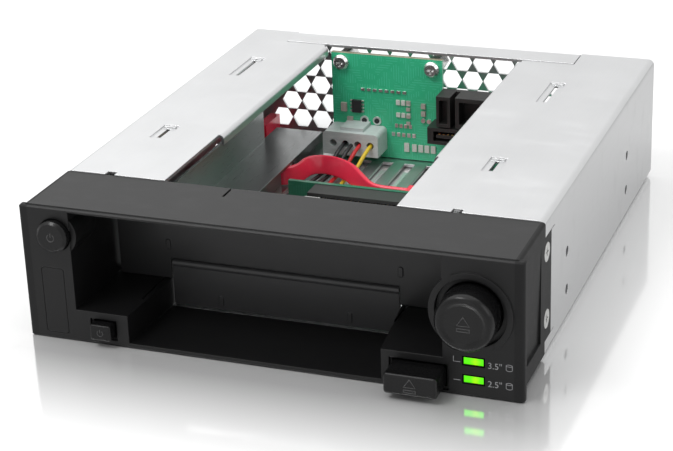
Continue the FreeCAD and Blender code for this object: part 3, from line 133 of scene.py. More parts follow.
class Tree:
    """A tree of nodes; every node in it is made by the one method."""

    def __init__(self, tree):
        self.tree = tree

    def feed(self, slot, value):
        """Link a socket into the slot, or set a plain value there."""
        value = value.socket if isinstance(value, Amount) else value
        if isinstance(value, bpy.types.NodeSocket):
            self.tree.links.new(value, slot)
        else:
            slot.default_value = value

    def node(self, kind, settings=None, out=0, **inputs):
        """Make a node: its settings first, then its sockets, a list for those that share a name.

        The output of the given name or number comes back, or the node itself where out is None.
        """
        node = self.tree.nodes.new(kind)
        for name, value in (settings or {}).items():
            setattr(node, name, value)
        for name, value in inputs.items():
            slots = [slot for slot in node.inputs if slot.name == name.replace("_", " ") and slot.enabled]
            values = value if isinstance(value, list) else [value]
            for slot, part in zip(slots, values, strict=True):
                self.feed(slot, part)
        if out is None:
            return node
        outputs = node.outputs if isinstance(out, str) else [slot for slot in node.outputs if slot.enabled]
        return Amount(outputs[out])


class Finish(Tree):
    """One surface finish: a Principled shader and the nodes that vary it over the piece."""

    def __init__(self, name, **values):
        self.material = bpy.data.materials.new(name)
        self.material.use_nodes = True
        super().__init__(self.material.node_tree)
        self.tree.nodes.clear()
        self.shader = self.node("ShaderNodeBsdfPrincipled", out=None, **values)
        self.node("ShaderNodeOutputMaterial", out=None, Surface=self.shader.outputs["BSDF"])
        self.place = self.node("ShaderNodeTexCoord", out="Object")
        parts = self.node("ShaderNodeSeparateXYZ", out=None, Vector=self.place)
        self.x, self.y, self.z = [Amount(socket) for socket in parts.outputs]

    def set(self, **values):
        """Give the shader's own sockets their values or links."""
        for name, value in values.items():
            self.feed(self.shader.inputs[name.replace("_", " ")], value)

    def noise(self, size, stretch=(1.0, 1.0, 1.0), detail=2.0):
        """Smooth noise between 0 and 1 whose lumps are about size metres, longer where stretch is more."""
        rate = tuple(1 / (size * longer) for longer in stretch)
        spread = self.node("ShaderNodeVectorMath", {"operation": "MULTIPLY"}, Vector=[self.place, rate])
        return self.node("ShaderNodeTexNoise", Vector=spread, Scale=1.0, Detail=detail)

    def mix(self, factor, first, second):
        """From the first colour at 0 to the second at 1."""
        first, second = [part if isinstance(part, Amount) else (*part, 1.0) for part in (first, second)]
        return self.node("ShaderNodeMix", {"data_type": "RGBA"}, Factor=factor, A=first, B=second)

    def relief(self, height, depth, edge):
        """Bumps as deep as given where height is 1, over edges that look rounded to the edge radius."""
        rounding = self.node("ShaderNodeBevel", {"samples": 4}, Radius=edge)
        self.set(Normal=self.node("ShaderNodeBump", Height=height, Distance=depth, Strength=1.0,
                                  Normal=rounding))


def toned(colour, share, lift=0.0):
    """The colour with each of its parts times a share, then lifted."""
    return tuple(part * share + lift for part in colour)


out_of_reach = 1.0  # further from the middle than any face


def sheet_steel(name, colour, stretch, roughness=0.3, wall=out_of_reach):
    """Galvanised sheet whose grain runs along the longest stretch, darker out past the wall's face as
    painted shade.
    """
    finish = Finish(name, Metallic=1.0)
    grain = finish.noise(size=0.00022, stretch=stretch, detail=3.0)
    cloud = finish.noise(size=0.018, stretch=(1.0, 1.4, 1.0), detail=3.0).fade(0.3, 0.7)
    smear = finish.noise(size=0.006, stretch=(3.0, 1.0, 2.0), detail=4.0).fade(0.55, 0.8)
    tone = finish.mix(cloud, toned(colour, 0.93), colour)
    # out past the wall's face the colour drops to 0.7: painted shade on the side walls
    tone = finish.mix(abs(finish.x) > wall, tone, toned(colour, 0.7))
    finish.set(Base_Color=finish.mix(grain * 0.12, tone, toned(colour, 0.75)),
               Roughness=roughness + grain * 0.1 + smear * 0.08)
    finish.relief(grain, depth=0.000003, edge=0.0003)
    return finish.material


def dress(material, *nodes):
    """Give every slot of the CAD nodes one material."""
    for node in nodes:
        for slot in frame["nodes"][node].material_slots:
            slot.material = material


face_margin = 0.0003  # the side wall's face begins this far inside its outermost plane
cage_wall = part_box("steel_cage")[1].x - face_margin
# past cage_wall the cage's side walls are painted darker, as shade
cage_steel = sheet_steel("cage_sheet", (0.63, 0.635, 0.64), stretch=(1.0, 60.0, 1.0), wall=cage_wall)
dress(cage_steel, "steel_cage")


# ---- back plate, rails and bracket -----------------------------------------------
# A second sheet closes the rear: a punched honeycomb with a lip folded over the cage's top.
# The rails are folded from duller stock, and spot welds hold all of these to the floor and sides.

dress(sheet_steel("back_sheet", (0.64, 0.645, 0.65), stretch=(60.0, 1.0, 1.0)), "back_plate")
rail_steel = sheet_steel("rail_sheet", (0.36, 0.37, 0.37), stretch=(1.0, 50.0, 1.0), roughness=0.24)
dress(rail_steel, "left_rail", "right_rail", "rod_guides", "lever_bracket")


# ---- plated small parts ----------------------------------------------------------
# Screws, pins, rods and levers are turned or stamped steel with bright zinc plating.
# The pins of the two flaps are blackened, so that they don't show in the recess.

def plated(name, colour, roughness):
    """Metal with fine turning lines, its plating worn in small patches."""
    finish = Finish(name, Metallic=1.0)
    wear = finish.noise(size=0.0012, detail=3.0)
    turning = finish.noise(size=0.00012, stretch=(6.0, 1.0, 6.0))
    finish.set(Base_Color=finish.mix(wear.fade(0.35, 0.75) * 0.5, colour, toned(colour, 0.72)),
               Roughness=roughness + wear * 0.14)
    finish.relief(turning, depth=0.000003, edge=0.00012)
    return finish.material


dress(plated("bright_zinc", (0.74, 0.74, 0.73), roughness=0.2), "board_screws", "board_standoffs",
      "eject_rod_upper", "eject_rod_lower", "eject_lever_upper", "eject_lever_lower", "upper_lever_pin",
      "lower_lever_pin")
dress(plated("satin_zinc", (0.5, 0.5, 0.49), roughness=0.38), "bezel_screws")
dress(plated("blackened", (0.06, 0.06, 0.06), roughness=0.35), "bay_door_pin", "slot_door_pin")


# ---- springs ---------------------------------------------------------------------
# Three coils of spring wire: two push the knob and the button out, one closes the upper flap.
# Each is wound from round wire, and its ends sit on the parts that it pushes apart.

class Plan(Tree):
    """A Geometry Nodes tree with named inputs; it ends in Realize Instances and Set Material."""

    def __init__(self, name, **kinds):
        super().__init__(bpy.data.node_groups.new(name, "GeometryNodeTree"))
        for word, kind in {**kinds, "Surface": "NodeSocketMaterial"}.items():
            self.tree.interface.new_socket(word, in_out="INPUT", socket_type=kind)
        self.tree.interface.new_socket("Geometry", in_out="OUTPUT", socket_type="NodeSocketGeometry")
        self.given = self.node("NodeGroupInput", out=None).outputs

    def end(self, geometry):
        """Finish the tree on this geometry."""
        solid = self.node("GeometryNodeRealizeInstances", Geometry=geometry)
        painted = self.node("GeometryNodeSetMaterial", Geometry=solid, Material=self.given["Surface"])
        self.node("NodeGroupOutput", out=None, Geometry=painted)


def set_down(name, data):
    """A new object in the scene for a mesh, a lamp or a camera."""
    piece = bpy.data.objects.new(name, data)
    bpy.context.collection.objects.link(piece)
    return piece


def grown(plan, name, surface, base=None, **values):
    """A plain mesh made by a plan with the given inputs, from nothing or from a base curve."""
    base = set_down(name + "_base", base or bpy.data.meshes.new(name + "_base"))
    growth = base.modifiers.new("growth", "NODES")
    growth.node_group = plan.tree
    values["Surface"] = surface
    for item in plan.tree.interface.items_tree:
        if item.in_out == "INPUT" and item.name in values:
            growth[item.identifier] = values[item.name]
    plain = bpy.data.meshes.new_from_object(base.evaluated_get(bpy.context.evaluated_depsgraph_get()))
    base.modifiers.remove(growth)
    bpy.data.objects.remove(base)
    return set_down(name, plain)


def fixed(piece, body, slot, *nodes):
    """Let a finished piece ride on a body, in place of the nodes that it stands for."""
    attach(piece, body)
    if nodes:
        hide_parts(*nodes)


coil_plan = Plan("coil", Turns="NodeSocketFloat", Radius="NodeSocketFloat", Wire="NodeSocketFloat",
                 Length="NodeSocketFloat", Start="NodeSocketVector", Turn="NodeSocketVector")
winding = coil_plan.node("GeometryNodeCurveSpiral", Resolution=32, Rotations=coil_plan.given["Turns"],
                         Start_Radius=coil_plan.given["Radius"], End_Radius=coil_plan.given["Radius"],
                         Height=coil_plan.given["Length"])
wire_round = coil_plan.node("GeometryNodeCurvePrimitiveCircle", Resolution=12,
                            Radius=coil_plan.given["Wire"])
wound = coil_plan.node("GeometryNodeCurveToMesh", Curve=winding, Profile_Curve=wire_round, Fill_Caps=True)
coil_plan.end(coil_plan.node("GeometryNodeTransform", Geometry=wound, Translation=coil_plan.given["Start"],
                             Rotation=coil_plan.given["Turn"]))

spring_wire = 0.0004  # half the wire's thickness
spring_turns = 6.0
spring_steel = plated("spring_steel", (0.62, 0.62, 0.6), roughness=0.22)
along_x = (0, (0.0, math.pi / 2, 0.0))  # the axis, and the turn that lays a coil along it
along_y = (1, (-math.pi / 2, 0.0, 0.0))
for node, (axis, turn), joint in (("knob_spring", along_y, "knob_press"),
                                  ("push_spring", along_y, "push_press"),
                                  ("bay_door_spring", along_x, None)):
    low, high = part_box(node)
    middle = (low + high) / 2
    start = middle.copy()
    start[axis] = low[axis] + spring_wire
    coil = grown(coil_plan, node + "_coil", spring_steel, Turns=spring_turns, Wire=spring_wire,
                 Radius=(high.z - low.z) / 2 - spring_wire, Length=high[axis] - low[axis] - 2 * spring_wire,
                 Start=tuple(start), Turn=turn)
    fixed(coil, "cage", "plated_steel", node)
    if joint:
        travel = next(j["range_m"][1] for j in frame["record"]["behaviour"]["joints"] if j["name"] == joint)
        length = high.y - low.y
        (length - travel) / length
        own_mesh(coil)


# ---- boards ----------------------------------------------------------------------
# Green glass-fibre boards, whose copper tracks show as lighter relief under the solder mask.
# The large upright one carries the drive sockets and hangs on two spacers behind its screws.

def solder_mask(name, painted_shade_share, edge_up):
    """Mask over tracks on a board whose sawn glass-fibre edge lies at the given height, its colours cut by
    a share as painted shade.
    """
    finish = Finish(name, Coat_Weight=0.35, Coat_Roughness=0.12)
    pitch = 0.0009
    half_track = 0.16
    lane = (finish.x / pitch) % 1.0
    row = (finish.z / pitch) % 1.0
    patch = finish.noise(size=0.004, detail=0.0)
    tracks = (abs(lane - 0.5) < half_track) * (patch > 0.55)
    rungs = (abs(row - 0.5) < half_track) * (patch < 0.42)
    copper = tracks.most(rungs)
    bare = finish.mix(finish.noise(size=0.006), toned((0.025, 0.44, 0.21), painted_shade_share),
                      toned((0.045, 0.52, 0.27), painted_shade_share))
    coated = finish.mix(copper * 0.6, bare, toned((0.08, 0.58, 0.35), painted_shade_share))
    sawn = 0.0001
    finish.set(Base_Color=finish.mix(finish.z > edge_up - sawn, coated, (0.42, 0.4, 0.28)),
               Roughness=0.34 - copper * 0.06)
    finish.relief(copper, depth=0.00002, edge=0.0001)
    return finish.material


dress(solder_mask("green_mask", 1.0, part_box("backplane_board")[1].z), "backplane_board")
no_edge = 0.001  # above the top, so that a board in painted shade shows no pale edge
# The four small boards are painted into shade: their mask keeps 0.3 of the upright board's colour.
for node in ("lower_board", "light_board", "upper_switch_board", "lower_switch_board"):
    dress(solder_mask(node + "_mask", 0.3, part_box(node)[1].z + no_edge), node)


# ---- parts on the upright board --------------------------------------------------
# Chips, a small controller and rows of tinned pads are soldered to the front of the board.
# They are placed by machine in straight rows, so each row is one part repeated at a pitch.

def enamel(name, colour, roughness):
    """A smooth baked or moulded skin with a slight mottle."""
    finish = Finish(name)
    mottle = finish.noise(size=0.0006, detail=3.0)
    finish.set(Base_Color=finish.mix(mottle.fade(0.3, 0.8), colour, toned(colour, 0.8)),
               Roughness=roughness + mottle * 0.1)
    finish.relief(mottle, depth=0.000006, edge=0.0001)
    return finish.material


def row_plan(name, **kinds):
    """A plan for a straight row, and its points: Count of them from Start, one Step apart."""
    plan = Plan(name, Count="NodeSocketInt", Start="NodeSocketVector", Step="NodeSocketVector", **kinds)
    points = plan.node("GeometryNodeMeshLine", Count=plan.given["Count"],
                       Start_Location=plan.given["Start"], Offset=plan.given["Step"])
    return plan, points


block_plan, block_spots = row_plan("row", Size="NodeSocketVector")
block = block_plan.node("GeometryNodeMeshCube", Size=block_plan.given["Size"])
block_plan.end(block_plan.node("GeometryNodeInstanceOnPoints", Points=block_spots, Instance=block))

disc_plan, disc_spots = row_plan("disc_row", Radius="NodeSocketFloat", Depth="NodeSocketFloat")
disc = disc_plan.node("GeometryNodeMeshCylinder", Vertices=24, Radius=disc_plan.given["Radius"],
                      Depth=disc_plan.given["Depth"])
disc_plan.end(disc_plan.node("GeometryNodeInstanceOnPoints", Points=disc_spots, Instance=disc,
                             Rotation=(math.pi / 2, 0.0, 0.0)))

board_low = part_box("backplane_board")[0]
tin = plated("tinned_pad", (0.78, 0.78, 0.76), roughness=0.25)
chip_grey = enamel("chip_grey", (0.42, 0.4, 0.35), roughness=0.4)
chip_white = enamel("chip_white", (0.62, 0.66, 0.6), roughness=0.45)
chip_black = enamel("chip_black", (0.02, 0.02, 0.022), roughness=0.4)


def soldered(plan, name, surface, right, up, proud, count, step, **sizes):
    """A row on the board's face; right and up are from its lower left corner to the first part."""
    start = (board_low.x + right, board_low.y - proud / 2, board_low.z + up)
    parts = grown(plan, name, surface, Count=count, Start=start, Step=step, **sizes)
    fixed(parts, "cage", "plated_steel" if surface is tin else "connector_black")


def blocks(name, surface, right, up, size, count=1, step=(0, 0, 0)):
    soldered(block_plan, name, surface, right, up, size[1], count, step, Size=size)


def discs(name, surface, right, up, radius, proud, count, step):
    soldered(disc_plan, name, surface, right, up, proud, count, step, Radius=radius, Depth=proud)


blocks("controller_body", chip_black, 0.0092, 0.0185, (0.0033, 0.0012, 0.0046))
for side, right in (("left", 0.0071), ("right", 0.0113)):
    blocks("controller_leads_" + side, tin, right, 0.0166, (0.0009, 0.0004, 0.0006), 4, (0, 0, 0.00127))
blocks("edge_pads", tin, 0.0115, 0.0249, (0.0013, 0.0005, 0.0009), 8, (0.0022, 0, 0))
blocks("chips_left", chip_grey, 0.0043, 0.0178, (0.0021, 0.0009, 0.0032), 2, (0.0022, 0, -0.0051))
blocks("chip_block_upper", chip_white, 0.0245, 0.0211, (0.0014, 0.0006, 0.0018), 3, (0.0019, 0, 0))
blocks("chip_block_middle", chip_white, 0.0245, 0.0165, (0.0014, 0.0006, 0.0016), 3, (0.0019, 0, 0))
blocks("chip_column", chip_grey, 0.0282, 0.0136, (0.0014, 0.0007, 0.0012), 4, (0, 0, 0.0026))
blocks("pad_row_middle", tin, 0.0237, 0.0124, (0.0011, 0.0003, 0.0014), 4, (0.0017, 0, 0))
blocks("pad_row_low", tin, 0.0225, 0.0091, (0.0012, 0.0003, 0.0014), 5, (0.0019, 0, 0))
blocks("chip_row_low", chip_white, 0.0303, 0.0046, (0.0017, 0.0006, 0.0026), 4, (0.0023, 0, 0))
blocks("chip_single_low", chip_white, 0.0274, 0.0046, (0.0018, 0.0006, 0.0032))
blocks("chips_right", chip_grey, 0.0338, 0.0177, (0.0016, 0.0008, 0.0018), 2, (0, 0, 0.0028))
for name, surface, radius, proud in (("ring_pads", tin, 0.0016, 0.0004),
                                     ("ring_eyes", chip_black, 0.0009, 0.0007)):
    discs(name, surface, 0.0118, 0.0134, radius, proud, 2, (0.0047, 0, 0.0001))
discs("solder_dots", tin, 0.0337, 0.0152, 0.0008, 0.0008, 3, (0.0021, 0, -0.0001))


# ---- connectors ------------------------------------------------------------------
# Sockets and headers are black glass-filled nylon, matt with fine flow marks.
# The power plug is natural nylon, milky and slightly clear. The sockets' contacts are gold flashed.

def nylon(name, colour, roughness):
    """Moulded nylon with flow marks that run across the piece."""
    finish = Finish(name)
    flow = finish.noise(size=0.0009, stretch=(3.0, 1.0, 1.0), detail=3.0)
    finish.set(Base_Color=finish.mix(flow.fade(0.3, 0.8), colour, toned(colour, 1.2, lift=0.003)),
               Roughness=roughness + flow * 0.12)
    finish.relief(flow, depth=0.00001, edge=0.00015)
    return finish.material


dress(nylon("connector_black", (0.012, 0.012, 0.011), roughness=0.4), "upper_drive_socket",
      "lower_drive_socket", "power_header", "host_ports", "press_switches")
dress(nylon("plug_white", (0.5, 0.55, 0.54), roughness=0.28), "power_plug")
dress(plated("gold_flash", (0.86, 0.62, 0.24), roughness=0.2), "upper_socket_contacts",
      "lower_socket_contacts")


# ---- power wires -----------------------------------------------------------------
# Four stranded wires in soft vinyl run from the power plug to the lower board.
# Both their ends are crimped in place, and they lie on the floor between them.

def vinyl(name, colour, roughness):
    """Glossy vinyl insulation with a slight ripple."""
    finish = Finish(name, Coat_Weight=0.15, Coat_Roughness=0.2)
    ripple = finish.noise(size=0.0007, stretch=(1.0, 2.0, 1.0))
    finish.set(Base_Color=finish.mix(ripple * 0.3, colour, toned(colour, 0.6)),
               Roughness=roughness + ripple * 0.15)
    finish.relief(ripple, depth=0.00001, edge=0.0001)
    return finish.material


def route_of(name, points, leans):
    """A smooth upright curve whose control points are the route's, each with its own lean."""
    line = bpy.data.curves.new(name + "_route", "CURVE")
    line.dimensions = "3D"
    line.twist_mode = "Z_UP"
    line.resolution_u = 12
    spline = line.splines.new("NURBS")
    spline.points.add(len(points) - 1)
    for point, spot, lean in zip(spline.points, points, leans):
        point.co = (*spot, 1.0)
        point.tilt = lean
    spline.order_u = 3
    spline.use_endpoint_u = True
    return line


sheath_plan = Plan("sheath", Path="NodeSocketGeometry", Radius="NodeSocketFloat")
section = sheath_plan.node("GeometryNodeCurvePrimitiveCircle", Resolution=14,
                           Radius=sheath_plan.given["Radius"])
sheath = sheath_plan.node("GeometryNodeCurveToMesh", Curve=sheath_plan.given["Path"],
                          Profile_Curve=section, Fill_Caps=True)
sheath_plan.end(sheath_plan.node("GeometryNodeSetShadeSmooth", Geometry=sheath))

wire_radius = 0.0007
wire_gap = 0.0002
floor_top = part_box("left_rail")[0].z
lower_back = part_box("lower_board")[1].y
plug_contact_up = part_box("power_plug")[0].z + 0.0042
board_contact_up = floor_top + 0.0025
lying_up = floor_top + wire_radius + wire_gap
for node, slot, colour in (("wire_yellow", "wire_yellow", (0.78, 0.56, 0.03)),
                           ("wire_red", "wire_red", (0.66, 0.025, 0.03)),
                           ("wire_black_near", "wire_black", (0.02, 0.02, 0.022)),
                           ("wire_black_far", "wire_black", (0.02, 0.02, 0.022))):
    low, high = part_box(node)
    start = Vector((high.x - wire_radius, high.y - wire_gap, plug_contact_up))
    end = Vector((low.x + wire_radius, lower_back + wire_gap, board_contact_up))
    route = [start, start + Vector((0, -0.008, -0.0004)),
             Vector((start.x - 0.002, start.y - 0.014, lying_up + 0.0012)),
             Vector((start.x - 0.004, start.y - 0.022, lying_up)),
             Vector((end.x, end.y + 0.009, lying_up)),
             Vector((end.x, end.y + 0.003, lying_up + 0.0004)), end]
    wire = grown(sheath_plan, node + "_sheath", vinyl(node + "_vinyl", colour, roughness=0.35),
                 route_of(node, route, [0.0] * len(route)), Radius=wire_radius)
    fixed(wire, "cage", slot, node)


# ---- signal ribbon ---------------------------------------------------------------
# A flat cable of glossy red vinyl joins the lower board to the rear of the cage.
# It stands on its edge, bows out behind the drive and then follows the left wall.

ribbon_vinyl = vinyl("ribbon_red", (0.9, 0.04, 0.09), roughness=0.16)
dress(ribbon_vinyl, "ribbon_plugs")

band_plan = Plan("band", Path="NodeSocketGeometry", Thick="NodeSocketFloat", High="NodeSocketFloat",
                 Corner="NodeSocketFloat")
oblong = band_plan.node("GeometryNodeCurvePrimitiveQuadrilateral", Width=band_plan.given["Thick"],
                        Height=band_plan.given["High"])
rounded = band_plan.node("GeometryNodeFilletCurve", {"mode": "POLY"}, Curve=oblong, Count=4,
                         Radius=band_plan.given["Corner"])
band = band_plan.node("GeometryNodeCurveToMesh", Curve=band_plan.given["Path"], Profile_Curve=rounded,
                      Fill_Caps=True)
band_plan.end(band_plan.node("GeometryNodeSetShadeSmooth", Geometry=band))

low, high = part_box("signal_ribbon")
thick = 0.0018
centre_up = (low.z + high.z) / 2
near = low.y + thick / 2
channel = low.x + thick / 2
bends = ((high.x, near, 0, 0), (-0.004, near, 0, 0), (-0.0095, near + 0.001, 0, 0),
         (-0.016, near + 0.0085, 0, 0.2), (-0.023, near + 0.0165, 0.0004, 0.35),
         (-0.032, near + 0.0205, 0.0006, 0.4), (-0.0385, near + 0.0185, 0.0004, 0.3),
         (-0.0392, near + 0.0115, 0, 0.1), (-0.0425, near + 0.0074, 0, 0), (-0.052, near + 0.0064, 0, 0),
         (-0.0605, near + 0.0058, 0, 0), (channel, near + 0.0075, 0, 0), (channel, near + 0.017, 0, 0),
         (channel, high.y, 0, 0))
ribbon_route = route_of("ribbon", [(along, deep, centre_up + rise) for along, deep, rise, lean in bends],
                        [lean for along, deep, rise, lean in bends])
ribbon = grown(band_plan, "ribbon_band", ribbon_vinyl, ribbon_route, Thick=thick, High=high.z - low.z,
               Corner=0.0007)
fixed(ribbon, "cage", "ribbon_red", "signal_ribbon")


# ---- front bezel -----------------------------------------------------------------
# The bezel is one black ABS moulding with a fine sparked texture, rubbed smoother on its edges.
# Its ears are screwed to the cage, and a blank insert closes the place of an unused light.

def moulded(name, colour, roughness, spark, gloss, wall=out_of_reach):
    """Black ABS with a sparked texture, rougher out past the side wall's face."""
    finish = Finish(name, Specular_IOR_Level=gloss)
    fine = finish.noise(size=0.00016)
    cloud = finish.noise(size=0.014, detail=3.0)
    rub = finish.noise(size=0.004, stretch=(2.0, 1.0, 1.0), detail=4.0).fade(0.5, 0.85)
    side = abs(finish.x) > wall
    finish.set(Base_Color=finish.mix(cloud, colour, toned(colour, 1.3, lift=0.001)),
               Roughness=roughness + fine * 0.1 - rub * 0.05 + side * 0.22)
    finish.relief(fine, depth=spark, edge=0.0004)
    return finish.material


wing_depth = 0.001  # the bezel's side wings lie this far inside the cage wall's face
bezel_black = moulded("bezel_black", (0.0035, 0.0035, 0.0037), roughness=0.38, spark=0.00001, gloss=0.25,
                      wall=cage_wall - wing_depth)
dress(bezel_black, "front_bezel", "blank_insert")


# ---- flaps and buttons -----------------------------------------------------------
# The two flaps, the knob and the three buttons are black ABS too, from polished tools.
# They shine more than the bezel, and the hinge barrels carry the same gloss.

# Both flaps are lighter than the bezel, the lower one most: painted light that lifts them out of the
# recess's shade.
dress(moulded("flap_black", (0.014, 0.014, 0.0145), roughness=0.32, spark=0.000005, gloss=0.34), "bay_door")
dress(moulded("slot_flap_black", (0.03, 0.03, 0.031), roughness=0.34, spark=0.000005, gloss=0.4),
      "slot_door")
button_black = moulded("button_black", (0.0035, 0.0035, 0.0037), roughness=0.22, spark=0.000004, gloss=0.22)
dress(button_black, "power_button_upper", "power_button_lower", "eject_knob", "eject_button_lower")


# ---- eject knob ------------------------------------------------------------------
# The round knob is moulded in ABS: a full round rim about a shallow dished face.
# It slides in its bore on the rod behind it, and its rim carries the brightest reflections.

def lathed(name, profile, centre, surface):
    """A body of revolution about a line along Y; the profile runs from the axis back to it."""
    steps = 72
    corners = [(centre.x, profile[0][1], centre.z)]
    for radius, deep in profile[1:-1]:
        for step in range(steps):
            angle = 2 * math.pi * step / steps
            corners.append((centre.x + radius * math.cos(angle), deep, centre.z + radius * math.sin(angle)))
    corners.append((centre.x, profile[-1][1], centre.z))
    rings = len(profile) - 2
    faces = [(0, 1 + step, 1 + (step + 1) % steps) for step in range(steps)]
    for ring in range(rings - 1):
        near, far = 1 + ring * steps, 1 + (ring + 1) * steps
        faces += [(near + step, far + step, far + (step + 1) % steps, near + (step + 1) % steps)
                  for step in range(steps)]
    last = 1 + (rings - 1) * steps
    faces += [(last + step, len(corners) - 1, last + (step + 1) % steps) for step in range(steps)]
    mesh = bpy.data.meshes.new(name)
    mesh.from_pydata(corners, [], faces)
    for face in mesh.polygons:
        face.use_smooth = True
    mesh.materials.append(surface)
    return set_down(name, mesh)


knob_low, knob_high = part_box("eject_knob")
knob_radius = (knob_high.x - knob_low.x) / 2
knob_long = knob_high.y - knob_low.y
face_radius, crest_radius = 0.0052, 0.0066
dish, rim = 0.0005, 0.0021  # how far back the face's middle and the rim's foot lie from the crest
skirt, back_edge = 0.006, 0.0002
dish_steps, rim_steps = 8, 10
outline = [(0.0, dish)]
outline += [(face_radius + (crest_radius - face_radius) * step / dish_steps,
             dish * (1 + math.cos(math.pi * step / dish_steps)) / 2) for step in range(dish_steps + 1)]
outline += [(crest_radius + (knob_radius - crest_radius) * math.sin(math.pi / 2 * step / rim_steps),
             rim * (1 - math.cos(math.pi / 2 * step / rim_steps))) for step in range(1, rim_steps + 1)]
outline += [(knob_radius, skirt), (knob_radius, knob_long - back_edge),
            (knob_radius - back_edge, knob_long), (0.0, knob_long)]
fixed(lathed("knob_skin", [(radius, knob_low.y + deep) for radius, deep in outline],
             (knob_low + knob_high) / 2, button_black), "eject_knob", "black_plastic", "eject_knob")


# ---- moulded and printed marks ---------------------------------------------------
# The buttons carry raised signs: a power sign on two of them, an eject sign on the others.
# Beside the lights, grey ink gives the two drive sizes, a small drive sign and a guide line.

def pressed(name, line, place, surface):
    """A plain mesh of strokes or letters, moved to its place and given its surface."""
    holder = bpy.data.objects.new(name, line)
    mesh = bpy.data.meshes.new_from_object(holder)
    bpy.data.objects.remove(holder)
    mesh.transform(place)
    mesh.materials.clear()
    mesh.materials.append(surface)
    return set_down(name, mesh)


def drawn(name, strokes, width, face, proud, surface):
    """Strokes in the plane of a front face, all of one width; each says if it closes on itself."""
    line = bpy.data.curves.new(name, "CURVE")
    line.dimensions = "3D"
    line.bevel_depth = width / 2
    line.bevel_resolution = 2
    line.use_fill_caps = True
    for closed, points in strokes:
        spline = line.splines.new("POLY")
        spline.points.add(len(points) - 1)
        for point, (right, up) in zip(spline.points, points):
            point.co = (right, 0.0, up, 1.0)
        spline.use_cyclic_u = closed
    flat = Matrix.Diagonal((1.0, 2 * proud / width, 1.0, 1.0))
    return pressed(name, line, Matrix.Translation((0.0, face, 0.0)) @ flat, surface)


def arc(right, up, wide, tall, start, end, steps=20):
    """Points on an ellipse between two angles in degrees, from the right and turning up."""
    angles = [math.radians(start + (end - start) * step / steps) for step in range(steps + 1)]
    return [(right + wide * math.cos(angle), up + tall * math.sin(angle)) for angle in angles]


sign_black = moulded("sign_black", (0.045, 0.045, 0.046), roughness=0.32, spark=0.000003, gloss=0.5)
sign_proud = 0.00002
sign_stroke = 0.0004
for node, radius in (("power_button_upper", 0.0011), ("power_button_lower", 0.0009)):
    low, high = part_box(node)
    right, up = (low.x + high.x) / 2, (low.z + high.z) / 2
    power_sign = [(False, arc(right, up, radius, radius, 125, 415)),
                  (False, [(right, up + radius * 0.2), (right, up + radius * 1.35)])]
    fixed(drawn(node + "_sign", power_sign, radius * 0.28, low.y, sign_proud, sign_black),
          node, "black_plastic")
for node, wide, sink in (("eject_knob", 0.0035, dish), ("eject_button_lower", 0.0033, 0.0)):
    low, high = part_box(node)
    right, up = (low.x + high.x) / 2, (low.z + high.z) / 2
    tip, foot, bar_top, bar_low = [up + wide * share for share in (0.62, -0.12, -0.36, -0.6)]
    left, far_right = right - wide / 2, right + wide / 2
    eject_sign = [(True, [(left, foot), (far_right, foot), (right, tip)]),
                  (True, [(left, bar_low), (far_right, bar_low), (far_right, bar_top), (left, bar_top)])]
    fixed(drawn(node + "_sign", eject_sign, sign_stroke, low.y + sink, sign_proud, sign_black),
          node, "black_plastic")

ink = enamel("grey_ink", (0.3, 0.3, 0.31), roughness=0.5)
# a near-black finish for the painted shadow in the gaps round the lenses
gap_black = moulded("gap_black", (0.0005, 0.0005, 0.0005), roughness=0.8, spark=0.000001, gloss=0.0)
plate_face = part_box("blank_insert")[0].y
marks_drop = 0.0005
letter_size, letter_gap, letter_drop, letter_thick = 0.0026, 0.0011, 0.0009, 0.00002
ink_proud = 0.00003
drive_gap, drive_half, drive_stroke = 0.0071, 0.00085, 0.00018
lid_rise, lid_half = 0.000675, 0.0003
base_drop, base_half = 0.00054, 0.0004
rim_gap, rim_stroke, rim_proud = 0.0002, 0.00045, 0.00002
guide_gap, guide_long, guide_stroke = 0.0009, 0.0019, 0.0002
for node, words, guide_rise in (("light_lens_upper", '3.5"', 0.0016), ("light_lens_lower", '2.5"', None)):
    low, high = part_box(node)
    up = (low.z + high.z) / 2 - marks_drop
    letters = bpy.data.curves.new(node + "_size", "FONT")
    letters.body = words
    letters.size = letter_size
    letters.extrude = letter_thick
    upright = (Matrix.Translation((high.x + letter_gap, plate_face - letter_thick / 2, up - letter_drop))
               @ Matrix.Rotation(math.pi / 2, 4, "X"))
    fixed(pressed(node + "_size_mark", letters, upright, ink), "cage", "clear_nylon")
    right = high.x + drive_gap
    lid_left, lid_right = (right - drive_half, up + lid_rise), (right + drive_half, up + lid_rise)
    base = arc(right, up - base_drop, drive_half, base_half, 180, 360)
    can = [(True, arc(right, up + lid_rise, drive_half, lid_half, 0, 342, 19)),
           (False, [lid_left] + base + [lid_right])]
    fixed(drawn(node + "_drive_sign", can, drive_stroke, plate_face, ink_proud, ink),
          "cage", "clear_nylon")
    # A black line round each lens is painted shadow for its gap in the bezel.
    gap_shadow_line = [(low.x - rim_gap, low.z - rim_gap), (high.x + rim_gap, low.z - rim_gap),
                (high.x + rim_gap, high.z + rim_gap), (low.x - rim_gap, high.z + rim_gap)]
    fixed(drawn(node + "_painted_gap_shadow", [(True, gap_shadow_line)], rim_stroke, plate_face, rim_proud, gap_black),
          "cage", "clear_nylon")
    left = low.x - guide_gap
    guide = [(left - guide_long, up), (left, up)]
    if guide_rise:
        guide.insert(0, (left - guide_long, up + guide_rise))
    fixed(drawn(node + "_guide", [(False, guide)], guide_stroke, plate_face, ink_proud, ink),
          "cage", "clear_nylon")
